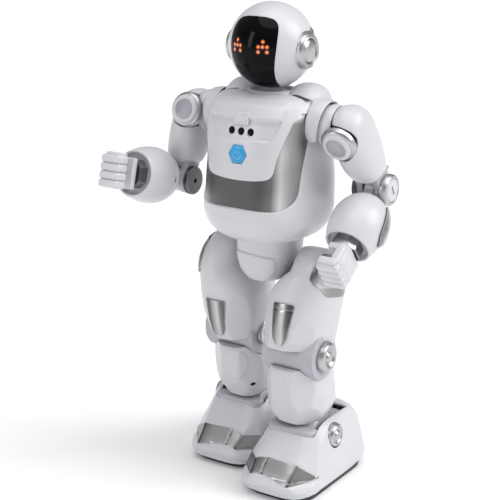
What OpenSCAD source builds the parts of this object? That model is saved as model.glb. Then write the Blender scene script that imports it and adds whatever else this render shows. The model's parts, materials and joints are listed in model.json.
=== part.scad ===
// Walking humanoid toy robot, 40 cm tall.
// It stands on z = 0 and faces -Y, with its own left hand at +X.
// Each limb is drawn in its own frame: the joint above it is at the origin,
// and x is the distance from the robot's centre plane. The right side is a mirror image.

/* [Body] */
// Height of the shoulder axle above the floor
shoulder_z = 306; // [300:1:312]
// Height of the hip axle above the floor
hip_z = 184; // [181:0.5:187]
// Distance that the body axis stands behind the frame's origin
body_y = 10; // [8:0.5:16]
// Wall thickness of the moulded shells
wall = 2.2; // [1.6:0.1:2.6]
// Depth at which the front half of the torso meets the back half
seam_y = 3; // [-4:0.5:8]

/* [Head] */
// Radius of the round head
head_r = 35; // [33:0.5:36]
// Height of the head's centre
head_z = 365; // [364:0.5:368]
// Height of the visor's centre relative to the head's centre
visor_z = -3; // [-6:0.5:0]

/* [Arms] */
// Distance from the shoulder axle to the elbow axis
upper_arm_len = 60; // [56:0.5:62]
// Forward swing of the left and right upper arm, in degrees
upper_arm_angles = [-28, 15];
// Bend of the left and right elbow, in degrees
elbow_angles = [82, 90];
// Middle of the forearm, measured sideways from the centre plane
forearm_x = 84.5; // [83:0.5:87]
// Radius of the elbow's outer disc
elbow_disc_r = 13; // [11:0.5:13.5]

/* [Legs] */
// Distance from the hip axle to the knee pin
thigh_len = 68.5; // [67:0.5:70]
// Distance from the knee pin to the ankle pin
shin_len = 73.3; // [72:0.1:75]
// Forward swing of the left and right thigh, in degrees
thigh_angles = [13, -9];
// Backward lean of the left shin, in degrees
left_shin_lean = 8.6; // [6:0.1:11]
// Radius of the knee barrel
knee_r = 20; // [18:0.5:20.5]

/* [Hidden] */
$fn = 64;

gloss_white = "#f2f2f4";
shade_white = "#d9d9de";
chrome = "#b9bbbf";
gunmetal = "#77777c";
glossy_black = "#0b0b0d";
button_blue = "#1f9fd0";
eye_orange = "#ff6a1c";
board_green = "#2f6b3c";
dark_plastic = "#3a3a3e";

left = 0;
right = 1;
far = 400;                 // longer than anything that is cut with it
running_gap = 0.05;        // radial clearance of a turning pin
axle_r = 4;
pin_r = 3;

left_leg_height = thigh_len * cos(thigh_angles[left]) + shin_len * cos(left_shin_lean);
right_shin_lean = acos((left_leg_height - thigh_len * cos(thigh_angles[right])) / shin_len);
shin_angles = [-left_shin_lean, -right_shin_lean];
ankle_z = hip_z - left_leg_height;

// ---------- lofted shapes ----------

// Each station of a loft is [z, x_low, x_high, y_front, y_back, squareness, flare].
// A squareness of 2 is an ellipse and larger values are nearer a rectangle.
// A flare makes the back wider and the front narrower by that share, and may be left out.
ring_points = 28;
function signed_pow(v, p) = sign(v) * pow(abs(v), p);
function ring(s) = [
    for (i = [0 : ring_points - 1])
        let (a = 360 * (i + 0.5) / ring_points,
             u = signed_pow(cos(a), 2 / s[5]),
             v = signed_pow(sin(a), 2 / s[5]),
             flare = len(s) > 6 ? s[6] : 0)
        [(s[1] + s[2]) / 2 + (s[2] - s[1]) / 2 * u * (1 + flare * v),
         (s[3] + s[4]) / 2 + (s[4] - s[3]) / 2 * v,
         s[0]]
];

// Stations moved outwards on every side by d; a negative d moves them inwards
function grown(stations, d) = [
    for (i = [0 : len(stations) - 1])
        let (s = stations[i], end = i == 0 ? -1 : i == len(stations) - 1 ? 1 : 0)
        [s[0] + end * d, s[1] - d, s[2] + d, s[3] - d, s[4] + d, s[5], len(s) > 6 ? s[6] : 0]
];

// Stations are listed from the lowest to the highest
module loft(stations) {
    n = ring_points;
    last = len(stations) - 1;
    points = [for (s = stations) each ring(s)];
    sides = [
        for (k = [0 : last - 1], i = [0 : n - 1])
            let (a = k * n + i, b = k * n + (i + 1) % n)
            each [[a, a + n, b], [b, a + n, b + n]]
    ];
    polyhedron(points, concat([[for (i = [0 : n - 1]) i]], sides,
                              [[for (i = [n - 1 : -1 : 0]) last * n + i]]));
}

module hollow_loft(stations, w = wall) {
    difference() {
        loft(stations);
        loft(grown(stations, -w));
    }
}

// ---------- frames ----------

module x_cylinder(r, x0, x1) {
    translate([x0, 0, 0]) rotate([0, 90, 0]) cylinder(r = r, h = x1 - x0);
}

// A cylinder that points forwards, from y0 to y1
module y_cylinder(r, y0, y1, sides = $fn) {
    translate([0, y1, 0]) rotate([90, 0, 0]) cylinder(r = r, h = y1 - y0, $fn = sides);
}

// An outline in X and Z, extruded from y0 to y1
module xz_prism(y0, y1) {
    translate([0, y1, 0]) rotate([90, 0, 0]) linear_extrude(y1 - y0) children();
}

// An outline in Y and Z, extruded from x0 to x1
module yz_prism(x0, x1) {
    translate([x0, 0, 0]) rotate([90, 0, 90]) linear_extrude(x1 - x0) children();
}

module slab(x0, x1, y0, y1, z0, z1) {
    translate([x0, y0, z0]) cube([x1 - x0, y1 - y0, z1 - z0]);
}

module body_frame() {
    translate([0, body_y, 0]) children();
}

module on_side(side) {
    mirror([side == right ? 1 : 0, 0, 0]) children();
}

module both_sides() {
    children();
    mirror([1, 0, 0]) children();
}

module head_frame() {
    body_frame() translate([0, 0, head_z]) children();
}

module upper_arm_frame(side) {
    on_side(side) translate([0, body_y, shoulder_z])
        rotate([-upper_arm_angles[side], 0, 0]) children();
}

module forearm_frame(side) {
    upper_arm_frame(side) translate([0, 0, -upper_arm_len])
        rotate([-elbow_angles[side], 0, 0]) children();
}

module thigh_frame(side) {
    on_side(side) translate([0, body_y, hip_z]) rotate([-thigh_angles[side], 0, 0]) children();
}

module shin_frame(side) {
    thigh_frame(side) translate([0, 0, -thigh_len])
        rotate([thigh_angles[side] - shin_angles[side], 0, 0]) children();
}

module foot_frame(side) {
    shin_frame(side) translate([0, 0, -shin_len]) rotate([shin_angles[side], 0, 0]) children();
}

// ---------- head ----------

ear_x = 31;                // where the ears start
ear_r = 14;
eye_x = 12.3;
eye_z = 8;
neck_r = 9;

// The outline of the visor seen from the front, wider at the chin
module visor_outline(grow = 0) {
    offset(delta = grow) hull() {
        translate([0, visor_z + 14]) circle(r = 18.5);
        translate([0, visor_z - 9]) circle(r = 20);
    }
}

module head_shell() {
    color(gloss_white) head_frame() difference() {
        sphere(r = head_r);
        sphere(r = head_r - 2.4);
        xz_prism(-far, 0) visor_outline();
        both_sides() x_cylinder(ear_r - 3, ear_x - 4, far);
        both_sides() x_cylinder(ear_r + 0.2, ear_x + 0.8, far);
        translate([0, 0, -far / 2]) cylinder(r = neck_r + 1, h = far / 2);
    }
}

module visor() {
    color(glossy_black) head_frame() intersection() {
        difference() {
            sphere(r = head_r - 0.4);
            sphere(r = head_r - 2.2);
            translate([0, 0, -far / 2]) cylinder(r = neck_r + 1, h = far / 2);
        }
        xz_prism(-far, 0) visor_outline(-0.3);
    }
}

module eye_board() {
    color(board_green) head_frame() slab(-15.8, 15.8, -25, -23.4, -2, 13.4);
}

// Six dots to each eye: one above, three across, two below and outside
module eye_leds() {
    dots = [[0, 4.4], [-3.5, 0], [0, 0], [3.5, 0], [-3.5, -4.4], [3.5, -4.4]];
    color(eye_orange) head_frame() for (x = [-eye_x, eye_x], d = dots)
        translate([x + d[0], 0, eye_z + d[1]]) y_cylinder(1.1, -26.2, -25, 16);
}

module ear_rings() {
    color(chrome) head_frame() both_sides() translate([ear_x, 0, 0]) rotate([0, 90, 0])
        rotate_extrude() polygon([[10, 1], [ear_r, 1], [ear_r, 3.4], [12.6, 5.2], [10, 4.6]]);
}

module ear_caps() {
    color(gloss_white) head_frame() both_sides() translate([ear_x, 0, 0]) rotate([0, 90, 0])
        rotate_extrude() polygon([[0, -2], [9.7, -2], [9.7, 3.4], [8, 5], [5, 6], [0, 6.6]]);
}

module neck_post() {
    color(shade_white) body_frame() translate([0, 0, 314]) cylinder(r = neck_r, h = 24);
}

// ---------- torso ----------

torso_flare = 0.07;
torso = [
    [208, -29, 29, -25, 26, 2.6, torso_flare], [212, -36, 36, -35, 34, 2.7, torso_flare],
    [218, -42, 42, -44, 39, 2.8, torso_flare], [226, -46, 46, -49.5, 42, 2.9, torso_flare],
    [236, -47.5, 47.5, -52, 43.5, 3, torso_flare], [248, -47.5, 47.5, -52, 43.5, 3, torso_flare],
    [264, -47, 47, -50.5, 43, 3.1, torso_flare], [280, -46, 46, -49, 41, 3.1, torso_flare],
    [296, -46, 46, -46.5, 39, 3.2, torso_flare], [310, -46, 46, -42, 36, 3.2, torso_flare],
    [319, -45, 45, -36, 32, 3, torso_flare], [325, -41, 41, -30, 27, 2.8, torso_flare],
    [328, -34, 34, -23, 19, 2.6, torso_flare]
];
// The hump between the neck and each shoulder
hump = [
    [320, 13, 46, -12, 28, 2.4], [327, 14, 45, -9, 26, 2.4],
    [332, 17, 41, -4, 22, 2.2], [335, 22, 36, 3, 16, 2]
];
button_z = 285.5;
button_r = 8.4;
lens_r = 3.1;
lens_pitch = 8.8;
lens_z = 303.3;
plate_proud = 1.8;
trim_proud = 1;
yoke_r = 18.4;             // clears the arm's shoulder drum

module torso_skin() {
    difference() {
        union() {
            loft(torso);
            both_sides() loft(hump);
            translate([0, 0, 318]) cylinder(r = 21, h = 14);
        }
        loft(grown(torso, -wall));
        translate([0, 0, 300]) cylinder(r = neck_r + 0.8, h = 60);
        translate([0, 0, head_z]) sphere(r = head_r + 0.8);
        translate([0, 0, shoulder_z]) x_cylinder(axle_r + 0.3, -far, far);
        xz_prism(-far, 0) button_outline(0.5);
    }
}

// The rim that curves over the top of each arm
module shoulder_yoke() {
    translate([0, 0, shoulder_z]) intersection() {
        difference() {
            x_cylinder(yoke_r + 2.6, 45, 55.8);
            x_cylinder(yoke_r, 44, 60);
        }
        slab(44, 60, -30, 30, 2, 30);
    }
}

module button_outline(grow = 0) {
    translate([0, button_z]) circle(r = button_r + grow, $fn = 6);
}

module torso_half(front) {
    body_frame() intersection() {
        union() {
            torso_skin();
            both_sides() shoulder_yoke();
        }
        slab(-far, far, front ? -far : seam_y + 0.1, front ? seam_y - 0.1 : far, 0, far);
    }
}

module chest_shell() {
    color(gloss_white) torso_half(true);
}

module back_shell() {
    color(gloss_white) torso_half(false);
}

module plate_outline() {
    polygon([[-40, 321.8], [-40, 313], [-35, 292], [-30.5, 271.5], [-20, 267.5], [0, 265.8],
             [20, 267.5], [30.5, 271.5], [35, 292], [40, 313], [40, 321.8]]);
}

// A skin on the front of the torso, inside an outline seen from the front
module front_skin(thick) {
    body_frame() intersection() {
        difference() {
            loft(grown(torso, thick));
            loft(grown(torso, 0.1));
        }
        xz_prism(-far, -22) children();
    }
}

module chest_plate() {
    color(gloss_white) difference() {
        union() {
            front_skin(plate_proud) plate_outline();
            body_frame() slab(-6.5, 6.5, -44, -40, 309.5, 321);
        }
        body_frame() xz_prism(-far, 0) button_outline(0.5);
        body_frame() for (i = [-1 : 1])
            translate([i * lens_pitch, 0, lens_z]) y_cylinder(lens_r + 0.2, -far, 0, 32);
        body_frame() loft(grown(torso, 0.1));
    }
}

module side_trim() {
    color(gunmetal) front_skin(trim_proud) difference() {
        polygon([[-30, 242.6], [30, 242.6], [41.6, 246.5], [45.6, 253], [46.4, 273],
                 [46.8, 302], [44.4, 317], [-44.4, 317], [-46.8, 302], [-46.4, 273],
                 [-45.6, 253], [-41.6, 246.5]]);
        offset(delta = 0.4) plate_outline();
        translate([-40, 300]) square([80, 40]);
    }
}

module sensor_lenses() {
    color(glossy_black) body_frame() difference() {
        for (i = [-1 : 1])
            translate([i * lens_pitch, 0, lens_z]) y_cylinder(lens_r, -47, -40, 32);
        loft(grown(torso, 0.1));
    }
}

module power_button() {
    color(button_blue) body_frame() xz_prism(-52.6, -42) button_outline();
}

module shoulder_plates() {
    color(gunmetal) body_frame() intersection() {
        difference() {
            loft(grown(torso, 1.4));
            loft(grown(torso, 0.1));
            both_sides() loft(grown(hump, 0.2));
            both_sides() shoulder_yoke();
        }
        both_sides() slab(30, 60, -24, 22, 322, 340);
    }
}

door_half_w = 26;
door_z = [226, 284];

module battery_door() {
    color(shade_white) body_frame() intersection() {
        difference() {
            loft(grown(torso, 1.2));
            loft(grown(torso, 0.1));
        }
        slab(-door_half_w, door_half_w, 22, far, door_z[0], door_z[1]);
    }
}

module battery_pack() {
    color(dark_plastic) body_frame() slab(-23, 23, 10, 32, 230, 280);
}

module main_board() {
    color(board_green) body_frame() slab(-30, 30, -12, -10.4, 250, 300);
}

module speaker() {
    color(dark_plastic) body_frame() translate([0, 0, 238]) union() {
        y_cylinder(16, -43, -38);
        y_cylinder(10, -38, -30);
    }
}

// ---------- pelvis and axles ----------

pelvis = [
    [171, -10, 10, -14, 12, 2.2], [173, -15, 15, -19, 17, 2.4], [178, -19, 19, -23, 21, 2.6],
    [186, -22, 22, -26, 24, 2.8], [196, -24, 24, -27, 25, 3], [207.6, -25, 25, -27, 25, 3]
];

module pelvis_shell() {
    color(gloss_white) body_frame() difference() {
        loft(pelvis);
        loft(grown(pelvis, -wall));
        translate([0, 0, hip_z]) x_cylinder(axle_r + 0.3, -far, far);
    }
}

module walk_gearbox() {
    color(dark_plastic) body_frame() difference() {
        slab(-14, 14, -14, 13, hip_z - 5, hip_z + 18);
        translate([0, 0, hip_z]) x_cylinder(axle_r + 0.1, -far, far);
    }
}

module hip_axle() {
    color(chrome) body_frame() translate([0, 0, hip_z]) x_cylinder(axle_r, -43, 43);
}

module shoulder_axle() {
    color(chrome) body_frame() translate([0, 0, shoulder_z]) x_cylinder(axle_r, -60, 60);
}

// ---------- arms ----------

drum_r = 16.5;             // the round inner end of the upper arm
drum_x = 50;
boss_x = 71;
boss_z = -2.5;
cheek_x = [70, 76, 86, 91];  // the two cheeks that hold the elbow
upper_arm = [
    [-47, 69, 91.5, -12.5, 13, 2.6], [-42, 66, 92.5, -15, 16, 2.5],
    [-32, 63, 92, -19, 20, 2.4], [-20, 61.5, 91, -21.5, 22.5, 2.3],
    [-8, 61, 89.5, -22, 23, 2.2], [2, 61, 87.5, -20.5, 21.5, 2.2],
    [10, 61.5, 84.5, -16, 17, 2.1], [15, 63, 79.5, -10, 10.5, 2.1], [17, 66, 75, -5, 5, 2]
];

module upper_arm_shell(side) {
    color(gloss_white) upper_arm_frame(side) difference() {
        union() {
            hollow_loft(upper_arm);
            difference() {
                x_cylinder(drum_r, drum_x, 64);
                x_cylinder(drum_r - wall, drum_x + 2, far);
            }
            x_cylinder(axle_r + 3, drum_x, 63);
            translate([0, 0, -upper_arm_len]) for (i = [0, 2]) {
                x_cylinder(11.5, cheek_x[i], cheek_x[i + 1]);
                slab(cheek_x[i], cheek_x[i + 1], -9, 9, 0, 15);
            }
        }
        x_cylinder(axle_r + running_gap, 0, 60.5);
        translate([0, 0, -upper_arm_len]) x_cylinder(pin_r + 0.1, 0, far);
        translate([boss_x, 0, boss_z]) y_cylinder(15.2, -far, -17.5);
    }
}

module arm_boss(side) {
    color(chrome) upper_arm_frame(side) translate([boss_x, -17.6, boss_z])
        rotate([90, 0, 0]) rotate_extrude()
        polygon([[0, 0], [14.8, 0], [14.8, 3.6], [11.5, 6.2], [8.6, 6.2], [7.4, 4.6], [0, 3.4]]);
}

module elbow_pin(side) {
    color(chrome) upper_arm_frame(side) translate([0, 0, -upper_arm_len]) union() {
        x_cylinder(pin_r, 68, 93);
        x_cylinder(12, 65.5, 69.8);
        x_cylinder(elbow_disc_r, 91.3, 97.5);
    }
}

// Radius of the forearm at each distance from the elbow
forearm_profile = [
    [6, 13.6], [10, 14.4], [15, 18], [19, 23], [22, 30], [23.3, 37], [23.3, 43], [22.4, 50],
    [21.4, 53], [21.4, 55], [18.5, 62]
];
function profile_points(d) = [
    for (p = forearm_profile) [p[0] + d, -p[1]]
];

module forearm_solid(d) {
    translate([forearm_x, 0, 0]) rotate_extrude()
        polygon(concat([[0, -forearm_profile[0][1]]], profile_points(d),
                       [[0, -forearm_profile[len(forearm_profile) - 1][1]]]));
}

module forearm_shell(side) {
    color(gloss_white) forearm_frame(side) difference() {
        union() {
            forearm_solid(0);
            x_cylinder(10.6, cheek_x[1] + 0.5, cheek_x[2] - 0.5);
            slab(cheek_x[1] + 0.5, cheek_x[2] - 0.5, -7, 7, -18, 0);
        }
        translate([forearm_x, 0, -57]) cylinder(r = 14, h = 33);
        translate([forearm_x, 0, -far]) cylinder(r = 15, h = far - 55);
        x_cylinder(pin_r + running_gap, 0, far);
    }
}

module forearm_trim(side) {
    color(gunmetal) forearm_frame(side) intersection() {
        difference() {
            forearm_solid(0.9);
            forearm_solid(0.1);
        }
        yz_prism(forearm_x, far)
            polygon([[0, -20], [9, -22], [14, -32], [12, -44], [2, -52], [-4, -40], [-5, -28]]);
    }
}

cuff_s = [56, 68];         // distances from the elbow to the two ends of the cuff

module cuff(side) {
    color(chrome) forearm_frame(side) translate([forearm_x, 0, 0])
        translate([0, 0, -cuff_s[1]]) linear_extrude(cuff_s[1] - cuff_s[0])
        polygon([[-11, -6], [-6, -11], [6, -11], [11, -6], [11, 6], [6, 11], [-6, 11], [-11, 6]]);
}

finger_pitch = 6.6;
finger_r = 3.4;
hand_half = 12.6;          // half the height of the four stacked fingers
palm_s = -68.2;            // where the heel of the hand meets the cuff
knuckle_s = -91;           // centre line of the folded fingers

// Fingers stacked from the thumb's side (-Y) to the little finger (+Y).
// They bend round a grip that is open towards the body.
module hand(side) {
    color(gloss_white) forearm_frame(side) translate([forearm_x, 0, 0]) union() {
        slab(-8, 9.6, -hand_half, hand_half, palm_s - 5.8, palm_s);
        slab(4.5, 9.6, -hand_half, hand_half, knuckle_s, palm_s - 5.8);
        for (i = [-1.5 : 1.5]) translate([0, i * finger_pitch, knuckle_s]) {
            translate([6.2, 0, 0]) sphere(r = finger_r, $fn = 32);
            translate([6.2, 0, 0]) rotate([0, -90, 0]) cylinder(r = finger_r, h = 13);
            translate([-6.8, 0, 0]) sphere(r = finger_r, $fn = 32);
            translate([-6.8, 0, 0]) cylinder(r = finger_r, h = 7.5);
        }
        slab(-8, 7, -hand_half - 2.6, -hand_half + 2, knuckle_s, knuckle_s + 6);
        slab(1, 8, -hand_half - 2.6, -hand_half + 2, knuckle_s, palm_s - 3);
    }
}

// ---------- legs ----------

leg_x = 38;                // middle of each leg
link_x = [33.5, 41.5];     // the flat link inside the thigh
barrel_x = [13, 62];
knee_disc_r = 12.8;
thigh_flare = 0.07;
thigh = [
    [-64, 12, 61, -31, 30, 2.8, thigh_flare], [-56, 10.5, 62, -33, 33, 2.8, thigh_flare],
    [-44, 9.5, 63, -34, 34, 2.7, thigh_flare], [-30, 10, 63.5, -34, 34, 2.6, thigh_flare],
    [-18, 13, 64, -32.5, 33, 2.6, thigh_flare], [-8, 20, 64, -30, 31, 2.6, thigh_flare],
    [0, 27, 63.5, -27, 28, 2.5, thigh_flare], [8, 27.6, 61.5, -22, 23, 2.5, thigh_flare],
    [14, 28.4, 58, -16, 17, 2.4, thigh_flare], [19, 31, 54, -9, 10, 2.3, thigh_flare]
];
thigh_bottom = -thigh_len + 2.5;

module thigh_shell(side) {
    color(gloss_white) thigh_frame(side) difference() {
        loft(thigh);
        loft(grown(thigh, -wall));
        slab(0, far, -far, far, -far, thigh_bottom);
        translate([0, 0, -thigh_len]) {
            x_cylinder(knee_r + 0.6, barrel_x[0] - 1.5, barrel_x[1] + 1.5);
            x_cylinder(knee_disc_r + 0.8, -1, far);
        }
        slab(0, 40, -axle_r - 2, axle_r + 2, -axle_r - 2, axle_r + 2);
    }
}

module thigh_link(side) {
    color(dark_plastic) thigh_frame(side) difference() {
        union() {
            x_cylinder(9, link_x[0], link_x[1]);
            translate([0, 0, -thigh_len]) x_cylinder(9, link_x[0], link_x[1]);
            slab(link_x[0], link_x[1], -9, 9, -thigh_len, 0);
        }
        x_cylinder(axle_r + running_gap, 0, far);
        translate([0, 0, -thigh_len]) x_cylinder(pin_r + running_gap, 0, far);
    }
}

// The tapered trim set into the front of the thigh
module thigh_trim(side) {
    color(chrome) thigh_frame(side) intersection() {
        difference() {
            loft(grown(thigh, 1.2));
            loft(grown(thigh, 0.1));
        }
        xz_prism(-far, -20)
            polygon([[26, -28], [46, -28], [43, -57], [39, -61], [33.5, -61], [30, -57]]);
    }
}

module hip_plate(side) {
    color(chrome) thigh_frame(side) intersection() {
        difference() {
            loft(grown(thigh, 1));
            loft(grown(thigh, 0.1));
        }
        slab(52, far, -30, 30, -19, 16);
    }
}

shin = [
    [-61, 18, 55, -19, 24, 2.6], [-56, 15, 58, -23, 28, 2.7], [-46, 11.5, 61, -27, 33, 2.8],
    [-32, 10, 61.5, -28.5, 34, 2.8], [-18, 12, 60, -27, 30, 2.8], [-6.5, 16, 57.5, -24.5, 25, 2.8]
];
ankle_r = 16;

module knee_block(side) {
    color(shade_white) shin_frame(side) difference() {
        x_cylinder(knee_r, barrel_x[0], barrel_x[1]);
        x_cylinder(pin_r + 0.1, 0, far);
        x_cylinder(10, link_x[0] - 0.5, link_x[1] + 0.5);
        slab(link_x[0] - 0.5, link_x[1] + 0.5, -10, 19.5, 0, far);
        slab(0, far, -far, far, -far, -14);
    }
}

module knee_pin(side) {
    color(chrome) shin_frame(side) union() {
        x_cylinder(pin_r, barrel_x[0] - 1, barrel_x[1] + 1);
        x_cylinder(knee_disc_r - 1, barrel_x[0] - 3.6, barrel_x[0] - 0.3);
        translate([barrel_x[1] + 0.3, 0, 0]) rotate([0, 90, 0]) rotate_extrude()
            polygon([[0, 0], [knee_disc_r, 0], [knee_disc_r, 3], [10, 5], [7, 3.6], [6.4, 3.6],
                     [5, 5.4], [0, 6]]);
    }
}

module shin_shell(side) {
    color(gloss_white) shin_frame(side) difference() {
        union() {
            hollow_loft(shin);
            translate([0, 0, -shin_len]) intersection() {
                x_cylinder(ankle_r, 18, 55);
                slab(0, far, -far, far, -far, 15);
            }
        }
        x_cylinder(knee_r + 0.3, barrel_x[0] - 0.5, barrel_x[1] + 0.5);
        x_cylinder(knee_disc_r + 0.4, 0, barrel_x[0]);
        x_cylinder(knee_disc_r + 0.4, barrel_x[1], far);
        translate([0, 0, -shin_len]) x_cylinder(pin_r + running_gap, 0, far);
    }
}

// The foot's stations are measured from the ankle pin
foot = [
    [3 - ankle_z, 7, 67, -51, 57, 3.4], [8 - ankle_z, 3, 70.5, -57, 62, 4.4],
    [15 - ankle_z, 2, 71.5, -58, 63, 4.7], [22 - ankle_z, 2.5, 71.5, -53, 62.5, 4.5],
    [30 - ankle_z, 4, 70.5, -45, 61, 4.1], [38 - ankle_z, 6.5, 69, -37, 58, 3.7],
    [46 - ankle_z, 9, 68, -30, 54, 3.3], [54 - ankle_z, 12, 65.5, -23, 48.5, 2.9],
    [58 - ankle_z, 15, 62.5, -18, 43.5, 2.6]
];
roller_r = 6;
roller_y = 36;
roller_shaft_r = 2;
roller_x = [12, 61];         // the two ends of the rollers' shaft

module foot_shell(side) {
    color(gloss_white) foot_frame(side) difference() {
        loft(foot);
        loft(grown(foot, -wall));
        slab(13, 60, -42, 48, 1 - ankle_z, 8 - ankle_z);
        x_cylinder(ankle_r + 1.4, 16.5, 56.5);
        slab(16.5, 56.5, -ankle_r - 1.4, 30, 0, 40);
        slab(13, 60, -26, 33, 4, 40);
        x_cylinder(pin_r + 0.1, 0, far);
        x_cylinder(10.6, 64.4, far);
        translate([0, roller_y, roller_r - ankle_z])
            x_cylinder(roller_shaft_r + running_gap, roller_x[0], roller_x[1]);
    }
}

module ankle_pin(side) {
    color(chrome) foot_frame(side) union() {
        x_cylinder(pin_r, 10, 66);
        translate([64.7, 0, 0]) rotate([0, 90, 0]) rotate_extrude()
            polygon([[0, 0], [10.2, 0], [10.2, 3.4], [8.6, 4.8], [5.6, 3.6], [4.6, 4.8], [0, 6]]);
    }
}

// The bright band across the instep, which runs to a point on the outer side
module foot_band(side) {
    color(chrome) foot_frame(side) intersection() {
        difference() {
            loft(grown(foot, 0.9));
            loft(grown(foot, 0.1));
        }
        yz_prism(0, far)
            polygon([[-70, 18 - ankle_z], [-53, 17 - ankle_z], [-24, 17 - ankle_z],
                     [-41, 29 - ankle_z], [-70, 31 - ankle_z]]);
    }
}

module sole_plate(side) {
    color(dark_plastic) foot_frame(side) difference() {
        translate([36.8, 3, -ankle_z]) linear_extrude(2.8) offset(r = 18) square([22, 68], true);
        slab(14, 59, roller_y - 7.5, roller_y + 7.5, -ankle_z - 1, 8 - ankle_z);
    }
}

// Two rollers on one shaft, under the heel
module foot_rollers(side) {
    color(dark_plastic) foot_frame(side) translate([0, roller_y, roller_r - ankle_z]) union() {
        x_cylinder(roller_shaft_r, roller_x[0] + 0.2, roller_x[1] - 0.2);
        x_cylinder(roller_r, 17, 27);
        x_cylinder(roller_r, 46, 56);
    }
}

// ---------- nodes ----------

head_shell();
visor();
eye_board();
eye_leds();
ear_rings();
ear_caps();
neck_post();
chest_shell();
back_shell();
chest_plate();
side_trim();
sensor_lenses();
power_button();
shoulder_plates();
battery_door();
battery_pack();
main_board();
speaker();
pelvis_shell();
walk_gearbox();
hip_axle();
shoulder_axle();
upper_arm_shell(left);  // left_upper_arm
arm_boss(left);  // left_arm_boss
elbow_pin(left);  // left_elbow_pin
forearm_shell(left);  // left_forearm
forearm_trim(left);  // left_forearm_trim
cuff(left);  // left_cuff
hand(left);  // left_hand
upper_arm_shell(right);  // right_upper_arm
arm_boss(right);  // right_arm_boss
elbow_pin(right);  // right_elbow_pin
forearm_shell(right);  // right_forearm
forearm_trim(right);  // right_forearm_trim
cuff(right);  // right_cuff
hand(right);  // right_hand
thigh_link(left);  // left_thigh_link
thigh_shell(left);  // left_thigh_shell
thigh_trim(left);  // left_thigh_trim
hip_plate(left);  // left_hip_plate
knee_block(left);  // left_knee_block
knee_pin(left);  // left_knee_pin
shin_shell(left);  // left_shin_shell
ankle_pin(left);  // left_ankle_pin
foot_shell(left);  // left_foot_shell
foot_band(left);  // left_foot_band
sole_plate(left);  // left_sole_plate
foot_rollers(left);  // left_foot_rollers
thigh_link(right);  // right_thigh_link
thigh_shell(right);  // right_thigh_shell
thigh_trim(right);  // right_thigh_trim
hip_plate(right);  // right_hip_plate
knee_block(right);  // right_knee_block
knee_pin(right);  // right_knee_pin
shin_shell(right);  // right_shin_shell
ankle_pin(right);  // right_ankle_pin
foot_shell(right);  // right_foot_shell
foot_band(right);  // right_foot_band
sole_plate(right);  // right_sole_plate
foot_rollers(right);  // right_foot_rollers
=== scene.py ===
"""The looks of the walking humanoid robot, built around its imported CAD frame.

Lengths are in millimetres until a mesh is made. Each limb is drawn in its own frame, as in
the CAD: the joint above it is at the origin and x is the distance from the centre plane.
"""

import json
import math

import bpy
import numpy as np
from mathutils import Matrix, Vector


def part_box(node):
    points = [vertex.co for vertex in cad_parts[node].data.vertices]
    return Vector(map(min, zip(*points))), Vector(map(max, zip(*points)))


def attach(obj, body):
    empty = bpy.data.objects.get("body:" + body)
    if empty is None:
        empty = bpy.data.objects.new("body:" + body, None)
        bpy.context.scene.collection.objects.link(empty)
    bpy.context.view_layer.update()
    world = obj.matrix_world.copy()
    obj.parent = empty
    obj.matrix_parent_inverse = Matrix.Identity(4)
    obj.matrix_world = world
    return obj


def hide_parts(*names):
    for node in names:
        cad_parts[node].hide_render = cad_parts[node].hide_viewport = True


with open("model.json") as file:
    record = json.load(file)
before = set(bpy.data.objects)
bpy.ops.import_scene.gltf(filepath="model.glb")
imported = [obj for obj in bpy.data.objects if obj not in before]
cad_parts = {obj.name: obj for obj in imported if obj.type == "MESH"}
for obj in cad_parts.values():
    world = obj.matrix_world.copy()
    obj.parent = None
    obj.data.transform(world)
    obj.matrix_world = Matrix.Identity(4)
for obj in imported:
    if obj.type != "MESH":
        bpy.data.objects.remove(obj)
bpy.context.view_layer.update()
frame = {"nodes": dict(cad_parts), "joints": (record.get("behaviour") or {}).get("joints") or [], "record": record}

MM = 0.001
SIDES = ("left", "right")
JOINT = {j["name"]: np.array(j["pos_m"]) / MM for j in frame["joints"] if "pos_m" in j}
BODY_Y = JOINT["head_turn"][1]


# ---------- frames ----------


class Place:
    """Puts local points in the row frame: a turn about X, a move in Y and Z, and a mirror."""

    def __init__(self, side, y, z, angle=0.0):
        self.mirror = side == "right"
        self.y, self.z, self.angle = y, z, angle

    def world(self, points):
        c, s = math.cos(self.angle), math.sin(self.angle)
        x, y, z = points[..., 0], points[..., 1], points[..., 2]
        if self.mirror:
            x = -x
        return np.stack([x, self.y + y * c + z * s, self.z - y * s + z * c], -1)


def limb(side, top, bottom):
    """The frame of a limb that hangs from the joint `top` towards the joint `bottom`."""
    a, b = JOINT[f"{side}_{top}"], JOINT[f"{side}_{bottom}"]
    return Place(side, a[1], a[2], math.atan2(a[1] - b[1], a[2] - b[2]))


head_high = np.array(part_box("head_shell")[1]) / MM
HEAD_R = BODY_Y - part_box("visor")[0][1] / MM
HEAD_Z = head_high[2] - HEAD_R
BODY = Place("left", BODY_Y, 0.0)
HEAD = Place("left", BODY_Y, HEAD_Z)
UPPER = {s: limb(s, "shoulder", "elbow") for s in SIDES}
FORE = {s: limb(s, "elbow", "wrist") for s in SIDES}
THIGH = {s: limb(s, "hip", "knee") for s in SIDES}
SHIN = {s: limb(s, "knee", "ankle") for s in SIDES}
FOOT = {s: Place(s, *JOINT[f"{s}_ankle"][1:]) for s in SIDES}
ANKLE_Z = JOINT["left_ankle"][2]
SHOULDER_Z = JOINT["left_shoulder"][2]
UPPER_ARM_LEN, THIGH_LEN, SHIN_LEN = (
    math.dist(JOINT[f"left_{a}"][1:], JOINT[f"left_{b}"][1:])
    for a, b in (("shoulder", "elbow"), ("hip", "knee"), ("knee", "ankle"))
)
FOREARM_X = JOINT["left_wrist"][0]


# ---------- materials ----------


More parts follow.
